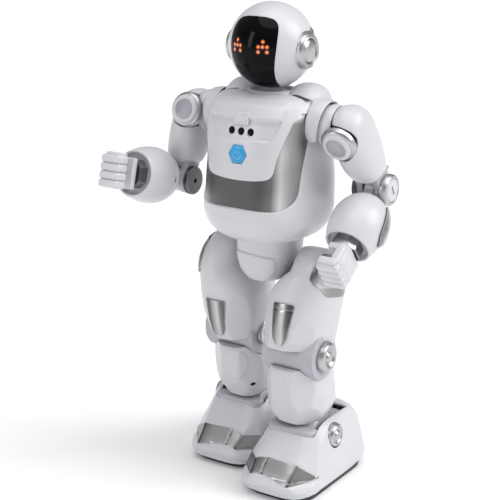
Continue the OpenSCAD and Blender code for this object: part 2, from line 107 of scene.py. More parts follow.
def preset(node, **values):
    """Sets a node's inputs by name, with _ for a space."""
    for name, value in values.items():
        node.inputs[name.replace("_", " ")].default_value = value
    return node


def blank(name, **values):
    """A new material with its node tree and its shader, whose inputs get the values."""
    m = bpy.data.materials.new(name)
    m.use_nodes = True
    nodes = m.node_tree.nodes
    return m, nodes, m.node_tree.links, preset(nodes["Principled BSDF"], **values).inputs


def tones(nodes, stops):
    """A colour ramp from stops (place, colour)."""
    node = nodes.new("ShaderNodeValToRGB")
    elements = node.color_ramp.elements
    elements[0].position, elements[0].color = stops[0][0], (*stops[0][1], 1)
    elements[1].position, elements[1].color = stops[-1][0], (*stops[-1][1], 1)
    for at, color in stops[1:-1]:
        elements.new(at).color = (*color, 1)
    return node


def material(name, color, rough, metallic=0.0, coat=0.0, grain=0.02, tone=0.012,
             scratch=0.0, shine=0.5):
    """Moulded plastic or plated trim: cloudy tone, fine grain and, on metal, faint scratches."""
    m, nodes, links, shader = blank(
        name, Metallic=metallic, Coat_Weight=coat, Coat_Roughness=0.08, Specular_IOR_Level=shine
    )
    place = nodes.new("ShaderNodeTexCoord")

    def noise(scale, detail, stretch=(1, 1, 1)):
        mapping = preset(nodes.new("ShaderNodeMapping"), Scale=stretch)
        node = preset(nodes.new("ShaderNodeTexNoise"), Scale=scale, Detail=detail)
        links.new(place.outputs["Object"], mapping.inputs["Vector"])
        links.new(mapping.outputs["Vector"], node.inputs["Vector"])
        return node.outputs["Fac"]

    def spread(source, low, high):
        node = nodes.new("ShaderNodeMapRange")
        preset(node, From_Min=0.3, From_Max=0.7, To_Min=low, To_Max=high)
        links.new(source, node.inputs["Value"])
        return node.outputs["Result"]

    def bump(height, strength, distance):
        node = preset(nodes.new("ShaderNodeBump"), Strength=strength, Distance=distance)
        links.new(height, node.inputs["Height"])
        return node

    mix = nodes.new("ShaderNodeMix")
    mix.data_type = "RGBA"
    dark, light = ([min(1, c * k) for c in color] for k in (1 - tone, 1 + tone))
    preset(mix, A=(*dark, 1), B=(*light, 1))
    links.new(spread(noise(22, 3), 0, 1), mix.inputs["Factor"])
    links.new(mix.outputs["Result"], shader["Base Color"])
    links.new(spread(noise(60, 4), rough * 0.94, rough * 1.06), shader["Roughness"])
    surface = bump(noise(1400, 2), grain, 0.0003)
    if scratch:
        lines = bump(noise(900, 2, (1, 0.05, 1)), scratch, 0.0002)
        links.new(surface.outputs["Normal"], lines.inputs["Normal"])
        surface = lines
    links.new(surface.outputs["Normal"], shader["Normal"])
    return m


def plated(name, rough, painted_reflection_greys):
    """Plating with painted reflections and painted shade: its tone changes with the way it faces, from the right
    round to the left.
    """
    m = material(name, (0.3, 0.3, 0.31), rough, 1.0, grain=0.04)
    nodes, links = m.node_tree.nodes, m.node_tree.links
    facing = nodes.new("ShaderNodeNewGeometry")
    axes = nodes.new("ShaderNodeSeparateXYZ")
    half = nodes.new("ShaderNodeMath")
    half.operation = "MULTIPLY_ADD"
    half.inputs[1].default_value = half.inputs[2].default_value = 0.5
    # The grey stops paint reflection and shade into the base colour by the way each point faces.
    painted_reflection_ramp = tones(nodes, [(at, (grey,) * 3) for at, grey in painted_reflection_greys])
    links.new(facing.outputs["Normal"], axes.inputs["Vector"])
    links.new(axes.outputs["X"], half.inputs[0])
    links.new(half.outputs["Value"], painted_reflection_ramp.inputs["Fac"])
    links.new(painted_reflection_ramp.outputs["Color"], nodes["Principled BSDF"].inputs["Base Color"])
    return m


def eye_material():
    """An LED dot: bright in its middle and dark at its edge, from the mesh's own `glow`."""
    m, nodes, links, shader = blank(
        "eye_light", Emission_Strength=1.3, Base_Color=(0.01, 0.008, 0.008, 1), Roughness=0.15
    )
    glow = nodes.new("ShaderNodeAttribute")
    glow.attribute_name = "glow"
    fire = tones(
        nodes, [(0, (0.004, 0.002, 0.002)), (0.45, (0.62, 0.09, 0.01)), (1, (1.0, 0.55, 0.22))]
    )
    links.new(glow.outputs["Fac"], fire.inputs["Fac"])
    links.new(fire.outputs["Color"], shader["Emission Color"])
    return m


LOOKS = {
    "gloss_white": material("gloss_white", (0.61, 0.61, 0.64), 0.34, coat=0.15),
    "shade_white": material("shade_white", (0.44, 0.44, 0.48), 0.4, coat=0.1),
    "chrome": material("chrome", (0.50, 0.50, 0.51), 0.33, 1.0, grain=0.03),
    # Gunmetal and steel: the plating's own dark grey, with lighter and darker stops by facing that are painted
    # reflections and painted shade.
    "gunmetal": plated("gunmetal", 0.36, [
        (0, 0.25), (0.12, 0.4), (0.3, 0.16), (0.5, 0.1), (0.62, 0.1), (0.74, 0.18), (0.84, 0.62),
        (0.93, 0.34), (1, 0.2)]),
    "steel": plated("steel", 0.3, [
        (0, 0.5), (0.2, 0.2), (0.36, 0.1), (0.45, 0.3), (0.53, 0.55), (0.6, 0.2), (0.7, 0.11),
        (0.8, 0.3), (0.92, 0.6), (1, 0.3)]),
    "glossy_black": material("glossy_black", (0.002, 0.002, 0.003), 0.1, grain=0.0, shine=0.1),
    "button_blue": material("button_blue", (0.005, 0.30, 0.62), 0.22, coat=0.3),
    "button_light": material("button_light", (0.08, 0.5, 0.8), 0.3, coat=0.2),
    "board_green": material("board_green", (0.02, 0.12, 0.05), 0.5),
    "dark_plastic": material("dark_plastic", (0.035, 0.035, 0.038), 0.45, grain=0.15),
    "axle_steel": material("axle_steel", (0.5, 0.5, 0.5), 0.3, 1.0, scratch=0.1),
    "eye_orange": eye_material(),
}


# ---------- meshes ----------


WALL = 1.8
EDGE = 0.3
SEAM = 0.13


def unit(v):
    return v / max(np.linalg.norm(v), 1e-12)


class Skin:
    """A surface as points, outward normals and faces, which can be cut and given a rim."""

    def __init__(self, points, faces, normals=None):
        self.p = np.asarray(points, float)
        self.f = [tuple(int(i) for i in f) for f in faces]
        self.n = self._normals() if normals is None else np.asarray(normals, float)

    def _normals(self):
        n = np.zeros_like(self.p)
        for size in (3, 4):
            some = np.array([f for f in self.f if len(f) == size])
            if len(some):
                a, b, c = self.p[some[:, 0]], self.p[some[:, 1]], self.p[some[:, 2]]
                normal = np.cross(b - a, c - a)
                if size == 4:
                    normal = np.cross(c - a, self.p[some[:, 3]] - b)
                for k in range(size):
                    np.add.at(n, some[:, k], normal)
        return n / np.maximum(np.linalg.norm(n, axis=1, keepdims=True), 1e-12)

    def lift(self, height):
        """Moves every point out along its normal, by a number or by a function of the points."""
        h = height(self.p) if callable(height) else height
        return Skin(self.p + self.n * np.reshape(h, (-1, 1)), self.f)

    def facet(self, *planes, soft=0.2):
        """Planes a rounded surface flat to a depth below its furthest point along a normal."""
        p = self.p.copy()
        for normal, depth in planes:
            normal = unit(np.array(normal, float))
            past = p @ normal - (self.p @ normal).max() + depth
            p -= normal * (soft * np.logaddexp(0, past / soft))[:, None]
        return Skin(p, self.f)

    def cut(self, field):
        """Keeps the part where field(points) is negative, with a clean edge."""
        value = field(self.p)
        points, normals, faces, made = list(self.p), list(self.n), [], {}

        def crossing(i, j):
            key = (min(i, j), max(i, j))
            if key not in made:
                t = value[i] / (value[i] - value[j])
                points.append(self.p[i] + (self.p[j] - self.p[i]) * t)
                normals.append(unit(self.n[i] + (self.n[j] - self.n[i]) * t))
                made[key] = len(points) - 1
            return made[key]

        for f in self.f:
            kept = [value[i] <= 0 for i in f]
            if all(kept):
                faces.append(f)
            elif any(kept):
                new = []
                for k, i in enumerate(f):
                    j = f[(k + 1) % len(f)]
                    if kept[k]:
                        new.append(i)
                    if kept[k] != kept[(k + 1) % len(f)]:
                        new.append(crossing(i, j))
                faces.append(tuple(new))
        used = sorted({i for f in faces for i in f})
        order = {i: k for k, i in enumerate(used)}
        return Skin(
            np.array(points)[used],
            [tuple(order[i] for i in f) for f in faces],
            np.array(normals)[used],
        )

    def rim(self, wall=WALL, edge=EDGE):
        """Rounds every open edge over and turns it inwards, as a moulded edge does."""
        count = {}
        for f in self.f:
            for k, i in enumerate(f):
                j = f[(k + 1) % len(f)]
                key = (min(i, j), max(i, j))
                count.setdefault(key, []).append((i, j))
        edges = [e[0] for e in count.values() if len(e) == 1]
        out = {}
        for i, j in edges:
            along = self.p[j] - self.p[i]
            for k in (i, j):
                out[k] = out.get(k, 0) + unit(np.cross(along, self.n[k]))
        points, faces = list(self.p), list(self.f)
        ring = {k: k for k in out}
        for step, down in ((edge * 0.6, edge * 0.15), (edge, edge * 0.6), (edge, wall)):
            nxt = {}
            for k, away in out.items():
                points.append(self.p[k] + unit(away) * step - self.n[k] * down)
                nxt[k] = len(points) - 1
            faces += [(ring[j], ring[i], nxt[i], nxt[j]) for i, j in edges]
            ring = nxt
        return Skin(points, faces)


def split(skin, seam, gap, wall=WALL, edge=EDGE):
    """Parts a shell where seam(points) is 0 into two rimmed halves."""
    low = skin.cut(lambda p: seam(p) + gap).rim(wall, edge)
    high = skin.cut(lambda p: gap - seam(p)).rim(wall, edge)
    return join(low, high)


def join(*skins):
    points, faces, start = [], [], 0
    for s in skins:
        points.append(s.p)
        faces += [tuple(i + start for i in f) for f in s.f]
        start += len(s.p)
    return Skin(np.concatenate(points), faces)


def weld(points, faces, near=1e-4):
    """Joins points that coincide and drops the faces that collapse."""
    key = np.round(points / near).astype(np.int64)
    _, first, index = np.unique(key, axis=0, return_index=True, return_inverse=True)
    index = index.reshape(-1)
    kept = []
    for f in faces:
        g = [int(index[i]) for i in f]
        g = [v for k, v in enumerate(g) if v != g[k - 1]]
        if len(set(g)) > 2:
            kept.append(tuple(g))
    return points[first], kept


def grid_skin(grid, wrap=True):
    """A skin from a grid of points [row][column], whose columns run round the shape."""
    rows, columns = grid.shape[:2]
    last = columns if wrap else columns - 1
    faces = []
    for r in range(rows - 1):
        for c in range(last):
            a, b = r * columns + c, r * columns + (c + 1) % columns
            faces.append((a, b, b + columns, a + columns))
    return Skin(*weld(grid.reshape(-1, 3), faces))


def smooth_values(xs, ys, x):
    """A smooth curve through the points that doesn't overshoot them."""
    xs, ys = np.asarray(xs, float), np.asarray(ys, float)
    h, d = np.diff(xs), np.diff(ys) / np.diff(xs)
    m = np.concatenate([[d[0]], np.zeros(len(xs) - 2), [d[-1]]])
    same = d[:-1] * d[1:] > 0
    m[1:-1][same] = 2 * d[:-1][same] * d[1:][same] / (d[:-1] + d[1:])[same]
    k = np.clip(np.searchsorted(xs, x) - 1, 0, len(h) - 1)
    t = (x - xs[k]) / h[k]
    return (
        (2 * t**3 - 3 * t**2 + 1) * ys[k]
        + (t**3 - 2 * t**2 + t) * h[k] * m[k]
        + (3 * t**2 - 2 * t**3) * ys[k + 1]
        + (t**3 - t**2) * h[k] * m[k + 1]
    )


def loft(stations, step=1.2, round_low=2.0, round_high=2.0, flare=0.0, dome=0.4):
    """A closed body through stations [z, x_low, x_high, y_front, y_back, squareness].

    A flare makes it wider towards its back.
    """
    table = np.array(stations, float)
    low, high = table[0, 0], table[-1, 0]
    z = np.linspace(low, high, max(12, int((high - low) / step)) + 1)
    ends = np.linspace(0, 1, 7)
    near_low = low + round_low * (1 - np.cos(ends * np.pi / 2))
    near_high = high - round_high * (1 - np.cos(ends * np.pi / 2))
    z = np.unique(np.concatenate([z, near_low, near_high]))
    columns = [smooth_values(table[:, 0], table[:, k], z) for k in range(1, 6)]
    x_low, x_high, y_front, y_back, square = columns

    def inset(distance, radius):
        depth = np.clip(radius - distance, 0, radius)
        return radius - np.sqrt(np.maximum(radius**2 - depth**2, 0))

    trim = inset(z - low, round_low) + inset(high - z, round_high)
    xh, yh = (x_high - x_low) / 2 - trim, (y_back - y_front) / 2 - trim
    xc, yc = (x_high + x_low) / 2, (y_back + y_front) / 2
    around = int(2 * math.pi * (xh.max() + yh.max()) / 2 / step / 4) * 4
    phi = np.linspace(0, 2 * np.pi, around, endpoint=False) + np.pi / around
    cos, sin = np.abs(np.cos(phi))[None], np.abs(np.sin(phi))[None]
    power = square[:, None]
    r = ((cos / xh[:, None]) ** power + (sin / yh[:, None]) ** power) ** (-1 / power)
    x, y = r * np.cos(phi), r * np.sin(phi)
    x = x * (1 + flare * y / yh[:, None])
    sides = np.stack([xc[:, None] + x, yc[:, None] + y, np.broadcast_to(z[:, None], x.shape)], -1)
    caps = []
    for row, sign in ((0, -1), (-1, 1)):
        middle = np.array([xc[row], yc[row], z[row]])
        share = np.linspace(0, 1, 10)[:-1][:, None, None]
        cap = middle + (sides[row] - middle) * share
        cap[..., 2] += sign * dome * (1 - share[..., 0] ** 2)
        caps.append(cap)
    return grid_skin(np.concatenate([caps[0], sides, caps[1][::-1]]))


def revolve(profile, sides=96, step=0.0):
    """A body of revolution about the local X axis, from points (radius, distance along X)."""
    profile = np.array(profile, float)
    if step:
        along = np.concatenate([[0], np.cumsum(np.linalg.norm(np.diff(profile, axis=0), axis=1))])
        t = np.linspace(0, along[-1], int(along[-1] / step) + 2)
        profile = np.stack([smooth_values(along, profile[:, k], t) for k in (0, 1)], -1)
    a = np.linspace(0, 2 * np.pi, sides, endpoint=False)
    r, x = profile[:, :1], profile[:, 1:]
    grid = np.stack([x + 0 * a, r * np.cos(a), r * np.sin(a)], -1)
    return grid_skin(grid)


TURNS = {
    "front": ((0, 1, 0), (-1, 0, 0), (0, 0, 1)),
    "back": ((0, -1, 0), (1, 0, 0), (0, 0, 1)),
    "up": ((0, 1, 0), (0, 0, 1), (1, 0, 0)),
    "down": ((0, -1, 0), (0, 0, 1), (-1, 0, 0)),
}


def turned(skin, way):
    """Turns a body from the X axis to point another way."""
    return Skin(skin.p @ np.array(TURNS[way], float).T, skin.f)


def moved(skin, x=0.0, y=0.0, z=0.0):
    return Skin(skin.p + np.array([x, y, z]), skin.f, skin.n)


def rounded_box(low, high, radius, flat=3, bend=3):
    """A box with rounded edges and corners."""
    low, high = np.minimum(low, high).astype(float), np.maximum(low, high).astype(float)
    middle, half = (low + high) / 2, (high - low) / 2
    radius = min(radius, half.min() * 0.98)
    turn = radius * (1 - np.cos(np.linspace(0, np.pi / 2, bend + 1)))
    skins = []
    for axis in range(3):
        u, v = (axis + 1) % 3, (axis + 2) % 3
        lines = []
        for k in (u, v):
            core = np.linspace(-half[k] + radius, half[k] - radius, flat + 1)
            lines.append(np.unique(np.concatenate([-half[k] + turn, core, half[k] - turn])))
        for sign in (-1, 1):
            a, b = np.meshgrid(lines[0], lines[1] if sign > 0 else lines[1][::-1])
            grid = np.zeros(a.shape + (3,))
            grid[..., axis], grid[..., u], grid[..., v] = sign * half[axis], a, b
            inner = np.clip(grid, -(half - radius), half - radius)
            away = grid - inner
            away /= np.maximum(np.linalg.norm(away, axis=-1, keepdims=True), 1e-9)
            skins.append(grid_skin(inner + away * radius + middle, wrap=False))
    whole = join(*skins)
    return Skin(*weld(whole.p, whole.f, 1e-3))


def prism(outline, bottom, top, bevel=0.4, taper=0.0):
    """An upright prism over a closed outline, with a bevelled upper edge and a domed top."""
    pts = np.array(outline, float)
    middle = pts.mean(0)
    reach = np.linalg.norm(pts - middle, axis=1).mean()
    rows = [(1 - taper, bottom), (1.0, bottom + 0.01), (1.0, top - bevel)]
    rows += [(1 - bevel * 0.3 / reach, top - bevel * 0.3), (1 - bevel / reach, top)]
    rows += [(0.5, top + 0.02), (0.0, top + 0.03)]
    grid = [np.column_stack([middle + (pts - middle) * k, np.full(len(pts), z)]) for k, z in rows]
    return grid_skin(np.array(grid))


def piece(name, skin, place, body, slot, look=None, replaces=(), sharp=32, glow=None):
    """Makes the Blender object of a skin and hangs it on its CAD body."""
    world = place.world(skin.p) * MM
    faces = [f[::-1] for f in skin.f] if place.mirror else skin.f
    mesh = bpy.data.meshes.new(name)
    mesh.from_pydata(world.tolist(), [], faces)
    mesh.validate()
    mesh.shade_smooth()
    mesh.set_sharp_from_angle(angle=math.radians(sharp))
    if glow is not None:
        layer = mesh.attributes.new("glow", "FLOAT", "POINT")
        layer.data.foreach_set("value", np.asarray(glow, np.float32))
    obj = bpy.data.objects.new(name, mesh)
    bpy.context.scene.collection.objects.link(obj)
    mesh.materials.append(LOOKS[look or slot])
    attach(obj, body)
    if replaces:
        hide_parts(*replaces)
    return obj


def body_piece(name, skin, slot, **more):
    piece(name, skin, BODY, "root", slot, **more)


def fitter(side, places, body):
    """A short form of piece() for one limb, which adds the side to each name."""

    def fit(name, skin, slot, look=None, replaces=(), **more):
        nodes = [f"{side}_{node}" for node in replaces]
        piece(f"{side}_{name}", skin, places[side], f"{side}_{body}", slot, look, nodes, **more)

    return fit


# ---------- outlines ----------


def rounded(points, radius, steps=5):
    """A closed outline with each corner replaced by a short curve."""
    pts, out = np.array(points, float), []
    for k, p in enumerate(pts):
        before, after = pts[k - 1] - p, pts[(k + 1) % len(pts)] - p
        a = p + before * min(0.45, radius / np.linalg.norm(before))
        b = p + after * min(0.45, radius / np.linalg.norm(after))
        for t in np.linspace(0, 1, steps):
            out.append((1 - t) ** 2 * a + 2 * t * (1 - t) * p + t**2 * b)
    return np.array(out)


def inside(outline, radius=0.0):
    """A function of (u, v): the signed distance to a rounded outline, negative inside it."""
    pts = rounded(outline, radius) if radius else np.array(outline, float)

    def distance(u, v):
        q = np.stack([u, v], -1)
        best, flips = np.full(len(q), 1e9), np.zeros(len(q), bool)
        for a, b in zip(pts, np.roll(pts, -1, 0)):
            e, w = b - a, q - a
            t = np.clip(w @ e / max(e @ e, 1e-12), 0, 1)
            best = np.minimum(best, np.linalg.norm(w - t[:, None] * e, axis=1))
            crosses = (a[1] > q[:, 1]) != (b[1] > q[:, 1])
            with np.errstate(divide="ignore", invalid="ignore"):
                at = a[0] + (q[:, 1] - a[1]) * e[0] / (e[1] if e[1] else 1e-12)
            flips ^= crosses & (q[:, 0] < at)
        return np.where(flips, -best, best)

    return distance


def mirrored(points):
    """A whole outline from its half at u >= 0, listed from the bottom to the top."""
    return [list(p) for p in points] + [[-u, v] for u, v in reversed(points) if u]


def ramp(value, soft):
    """0 where value is over zero, 1 where it is under -soft, smooth between."""
    t = np.clip(-value / soft, 0, 1)
    return t * t * (3 - 2 * t)


FAR = 99.0


def hole(distance, radius, spared=False):
    """A field that cuts a round hole, except where `spared` is true."""
    return radius - distance - FAR * spared


def from_x(p, y=0.0, z=0.0):
    """Distance from the line along X through (y, z)."""
    return np.hypot(p[:, 1] - y, p[:, 2] - z)


def from_y(p, x=0.0, z=0.0):
    """Distance from the line along Y through (x, z)."""
    return np.hypot(p[:, 0] - x, p[:, 2] - z)


def line(distance, width):
    """1 where the distance is 0, fading to nothing over a few widths."""
    return np.exp(-((distance / width) ** 2))


def azimuth(p, yc=0.0):
    """Degrees from straight ahead, positive towards +X."""
    return np.degrees(np.arctan2(p[:, 0], -(p[:, 1] - yc)))


# ---------- head ----------

EAR_X = 31.0
EAR_DROP = -2.0
EAR_SEAT_R = 14.0
NECK_HOLE_R = 10.5
PANE_DEPTH = 0.35

# The visor's outline, as degrees from straight ahead and height over the head's centre.
visor_edge = inside(mirrored([
    (0, -45), (97, -45), (97, -33.4), (70, -32.6), (55, -30.5), (44, -27), (38.5, -22),
    (36.5, -16), (36.5, -9), (38, 0), (40, 9), (42.5, 16), (43, 20.8), (36, 23.8), (20, 25.3),
    (0, 25.6),
]), 3.5)


def visor_field(p):
    return visor_edge(azimuth(p), p[:, 2])


def ear_seat(p):
    return hole(from_x(p), EAR_SEAT_R, np.abs(p[:, 0]) < 20)


def neck_hole(p):
    return hole(np.hypot(p[:, 0], p[:, 1]), NECK_HOLE_R, p[:, 2] > 0)


def ball(radius, step=0.9):
    rows = int(math.pi * radius / step)
    t = np.linspace(-np.pi / 2, np.pi / 2, rows)[:, None]
    a = np.linspace(0, 2 * np.pi, rows * 2, endpoint=False)[None]
    grid = np.stack([np.cos(t) * np.cos(a), np.cos(t) * np.sin(a), np.sin(t) + 0 * a], -1)
    return grid_skin(grid * radius)


def build_head():
    shell = ball(HEAD_R).cut(lambda p: PANE_DEPTH - visor_field(p)).cut(ear_seat).cut(neck_hole)
    shell = shell.rim(WALL, 0.45)
    piece("head_casing", shell, HEAD, "head", "gloss_white", replaces=["head_shell"])
    pane = ball(HEAD_R - PANE_DEPTH).cut(lambda p: visor_field(p) + 0.1).cut(neck_hole)
    piece("visor_pane", pane.rim(1.2, 0.15), HEAD, "head", "glossy_black", replaces=["visor"])
    post = revolve([(8.6, -51), (8.8, -50), (8.8, -35), (9, -33.5), (10.3, -32)])
    piece("neck_tube", turned(post, "up"), HEAD, "head", "shade_white", replaces=["neck_post"])


def ear_guard():
    """A flat collar under the ear's ring, with a pointed fin at its upper back."""
    fin_at, fin_width, fin_reach = np.radians(57), 0.2, 3.6
    root_r, rim_r, back_reach = 13.6, 14.9, 2.4
    angle = np.linspace(0, 2 * np.pi, 144, endpoint=False)
    off_fin = (angle - fin_at + np.pi) % (2 * np.pi) - np.pi
    behind = np.maximum(0, np.cos(angle - np.radians(10)))
    reach = rim_r + back_reach * behind + fin_reach * np.exp(-((off_fin / fin_width) ** 2))
    rows = []
    for share, x in ((0, 2.9), (0.35, 2.2), (0.8, 0.7), (0.97, -0.9), (1, -2.2), (1, -5.5)):
        r = root_r + (reach - root_r) * share
        rows.append(np.stack([x + 0 * angle, r * np.cos(angle), r * np.sin(angle)], -1))
    return grid_skin(np.array(rows))


def build_ear(side):
    place = Place(side, BODY_Y, HEAD_Z)
    ring = [(9.5, 1.6), (9.7, 4.0), (10.3, 4.9), (11.2, 5.2), (11.9, 4.9), (12.2, 4.5), (12.6, 4.9),
            (13.2, 4.8), (13.9, 3.9), (14.3, 2.8), (14.4, 1.0), (14.0, 0.2)]
    rings = moved(join(revolve(ring[::-1]), ear_guard()), EAR_X, z=EAR_DROP)
    piece(f"{side}_ear_ring", rings, place, "head", "chrome", replaces=["ear_rings"])
    cap = [(0, 6.4), (3, 6.25), (6, 5.6), (8, 4.7), (9.1, 3.7), (9.35, 2.4), (9.35, 1.0)]
    dome = moved(revolve(cap[::-1], step=0.5), EAR_X, z=EAR_DROP)
    piece(f"{side}_ear_dome", dome, place, "head", "chrome", replaces=["ear_caps"])


def eye_dot(x, z, radius, dot_r):
    """One LED dot on a ball of the given radius, and its glow at each point."""
    out = np.array([x, -math.sqrt(radius**2 - x * x - z * z), z]) / radius
    across = unit(np.cross([0, 0, 1.0], out))
    upward = np.cross(out, across)
    a = np.linspace(0, 2 * np.pi, 20, endpoint=False)[:, None]
    rows = []
    for share in (1.0, 0.8, 0.6, 0.4, 0.2, 0.0):
        q = (across * np.cos(a) + upward * np.sin(a)) * share * dot_r + out * radius
        q = q / np.linalg.norm(q, axis=1, keepdims=True)
        rows.append(q * (radius + 0.05 * (1 - share**2)))
    skin = grid_skin(np.array(rows))
    share = np.linalg.norm(skin.p - out * radius, axis=1) / dot_r
    return skin, np.clip(1 - share, 0, 1) ** 1.1


def build_eyes():
    """Six LED dots to each eye, just proud of the visor pane."""
    pitch_x, pitch_z, eye_x, eye_z, dot_r = 3.3, 4.0, 11.6, 3.2, 1.9
    pattern = [(0, 1), (-1, 0), (0, 0), (1, 0), (-1, -1), (1, -1)]
    dots = [
        eye_dot(eye + i * pitch_x, eye_z + j * pitch_z, HEAD_R - 0.27, dot_r)
        for eye in (-eye_x, eye_x)
        for i, j in pattern
    ]
    skin = join(*[dot for dot, _ in dots])
    glow = np.concatenate([shine for _, shine in dots])
    piece("eye_dots", skin, HEAD, "head", "eye_orange", replaces=["eye_leds"], glow=glow)


# ---------- torso ----------

FLARE = 0.07
SEAM_Y = 3.0
BUTTON_Z = 285.5
BUTTON_R = 8.4
LENS_Z = 303.0
LENS_X = (-8.8, 0.0, 8.8)
BADGE_Z = 315
TORSO_YC = -4.0
TORSO_ENDS = (6, 4)
torso_stations = [
    [208, -29, 29, -25, 26, 2.6], [212, -36, 36, -35, 34, 2.7],
    [218, -42, 42, -44, 39, 2.8], [226, -46, 46, -49.5, 42, 2.9],
    [236, -47.5, 47.5, -52, 43.5, 3], [248, -47.5, 47.5, -52, 43.5, 3],
    [264, -47, 47, -50.5, 43, 3.1], [280, -46, 46, -49, 41, 3.1],
    [296, -46, 46, -46.5, 39, 3.2], [310, -46, 46, -42, 36, 3.2],
    [319, -45, 45, -36, 32, 3], [325, -41, 41, -30, 27, 2.8],
    [328, -34, 34, -23, 19, 2.6],
]

# Outlines of the raised chest plate and the side panels, as degrees from straight ahead and height.
plate_edge = inside(mirrored([
    (0, 265.6), (15, 266.1), (27, 267.2), (33.5, 269), (36, 273), (38.5, 283), (42, 291),
    (46.5, 299), (55, 311.5), (66, 317.5), (76, 320.5), (84, 325), (90, 335), (0, 335),
]), 3)
panel_edge = inside(mirrored([
    (0, 242.6), (17, 242.5), (34.5, 242.2), (43, 243.2), (50, 245.8), (56, 249.5),
    (59.5, 254.5), (64.5, 272), (71, 289), (75, 301), (75.5, 311), (72, 319.5), (0, 319.5),
]), 3)
flap_edge = inside(
    [(-32, 311.3), (32, 311.3), (34, 319.5), (31, 327), (-31, 327), (-34, 319.5)], 2
)
recess_edge = inside([(-27, 296.6), (27, 296.6), (33.5, 312.5), (-33.5, 312.5)], 2.5)


def torso(step):
    return loft(torso_stations, step, *TORSO_ENDS, FLARE)


def plate_field(p):
    return np.maximum(plate_edge(azimuth(p, TORSO_YC), p[:, 2]), p[:, 1] + 14)


def panel_field(p):
    return panel_edge(azimuth(p, TORSO_YC), p[:, 2])


def plate_height(p):
    """The plate stands proud, its flap more so, and the recess below the flap less."""
    proud, raised, sunk = 1.8, 2.4, 1.5
    front = p[:, 1] < -10
    flap = ramp(flap_edge(p[:, 0], p[:, 2]), 1.6) * ramp(p[:, 2] - 327, 8)
    recess = ramp(recess_edge(p[:, 0], p[:, 2]), 1.5)
    return proud + raised * flap * front - sunk * recess * (1 - flap) * front


def bumper_height(p):
    """The casing swells round the side panels and is sunk under them."""
    swell, sunk = 1.7, 0.7
    low = ramp(panel_field(p) - 1.4, 1.4)
    outside = (1 - low) * ramp(p[:, 2] - 268, 14) * ramp(p[:, 1] + 20, 14)
    return swell * outside - sunk * low * (p[:, 1] < -5)


def button_hole(p):
    """A six-sided hole with a corner on each side."""
    corner_r, cos_30, tan_30 = 9.0, 0.866, 0.577
    x, z = np.abs(p[:, 0]), np.abs(p[:, 2] - BUTTON_Z)
    return corner_r - np.maximum(z / cos_30, x + z * tan_30)


def lens_holes(p):
    radius = 3.35
    return radius - np.min([from_y(p, x, LENS_Z) for x in LENS_X], axis=0)


def build_torso():
    shaped = torso(1.1).lift(bumper_height)
    chest = shaped.cut(lambda p: p[:, 1] - SEAM_Y + 0.15)
    back = shaped.cut(lambda p: SEAM_Y + 0.15 - p[:, 1])
    body_piece("chest_casing", chest.rim(), "gloss_white", replaces=["chest_shell"])
    body_piece("back_casing", back.rim(), "gloss_white", replaces=["back_shell"])
    front = torso(0.75).cut(lambda p: p[:, 1] + 5)
    panels = front.cut(panel_field).cut(lambda p: 0.5 - plate_field(p)).lift(0.15)
    body_piece("side_panels", panels.rim(0.9, 0.25), "gunmetal", replaces=["side_trim"])
    plate = front.cut(plate_field).lift(plate_height).cut(button_hole).cut(lens_holes)
    body_piece("chest_cover", plate.rim(1.6, 0.5), "gloss_white", replaces=["chest_plate"])
    build_lenses(plate)
    build_power_key(front_y(plate, 0, BUTTON_Z))
    build_badge(front_y(plate, 0, BADGE_Z))


def front_y(skin, x, z):
    """How far forward a skin stands at (x, z), seen from the front."""
    near = from_y(skin.p, x, z) + 50 * (skin.p[:, 1] > 0)
    return skin.p[np.argsort(near)[:4], 1].mean()


def build_lenses(plate):
    profile = [(0, 0.9), (1.2, 0.8), (2.2, 0.45), (2.9, -0.1), (3.1, -0.6), (3.1, -2.5)]
    lens = turned(revolve(profile[::-1], 48), "front")
    lenses = [moved(lens, x, front_y(plate, x, LENS_Z) + 0.2, LENS_Z) for x in LENS_X]
    body_piece("lens_domes", join(*lenses), "glossy_black", replaces=["sensor_lenses"])


def build_power_key(y):
    """A six-sided key with the usual sign for power: an open ring and a bar."""
    corner = np.radians(np.arange(6) * 60)
    outline = rounded(np.stack([np.cos(corner), np.sin(corner)], -1) * BUTTON_R, 0.7, 4)
    key = prism(outline, -7, 1.0, 1.3)
    faced = np.stack([key.p[:, 0], y - key.p[:, 2], BUTTON_Z + key.p[:, 1]], -1)
    key = Skin(faced, [f[::-1] for f in key.f])
    piece("power_key_cap", key, BODY, "power_key", "button_blue", replaces=["power_button"],
          sharp=25)
    ring_r, half, proud = 3.4, 0.45, 0.28
    arc = np.radians(np.linspace(125, 415, 30))
    rows = []
    for off, h in ((half, 0), (0.25, proud), (-0.25, proud), (-half, 0)):
        r = ring_r + off
        z = r * np.sin(arc) + BUTTON_Z - 0.3
        rows.append(np.stack([r * np.cos(arc), y - 1.0 - h + 0 * arc, z], -1))
    bow = grid_skin(np.array(rows), wrap=False)
    bar = rounded_box((-half, y - 1.3, BUTTON_Z), (half, y - 0.7, BUTTON_Z + 4.2), 0.25)
    piece("power_sign", join(bow, bar), BODY, "power_key", "button_blue", "button_light")


def build_badge(y):
    badge = rounded_box((-6.6, y - 1.2, 308.6), (6.6, y + 4, 318.6), 0.7)
    inset = rounded_box((-4.6, y - 1.7, 310.3), (4.6, y - 0.6, 316.9), 0.45)
    body_piece("chest_badge", join(badge, inset), "gloss_white")


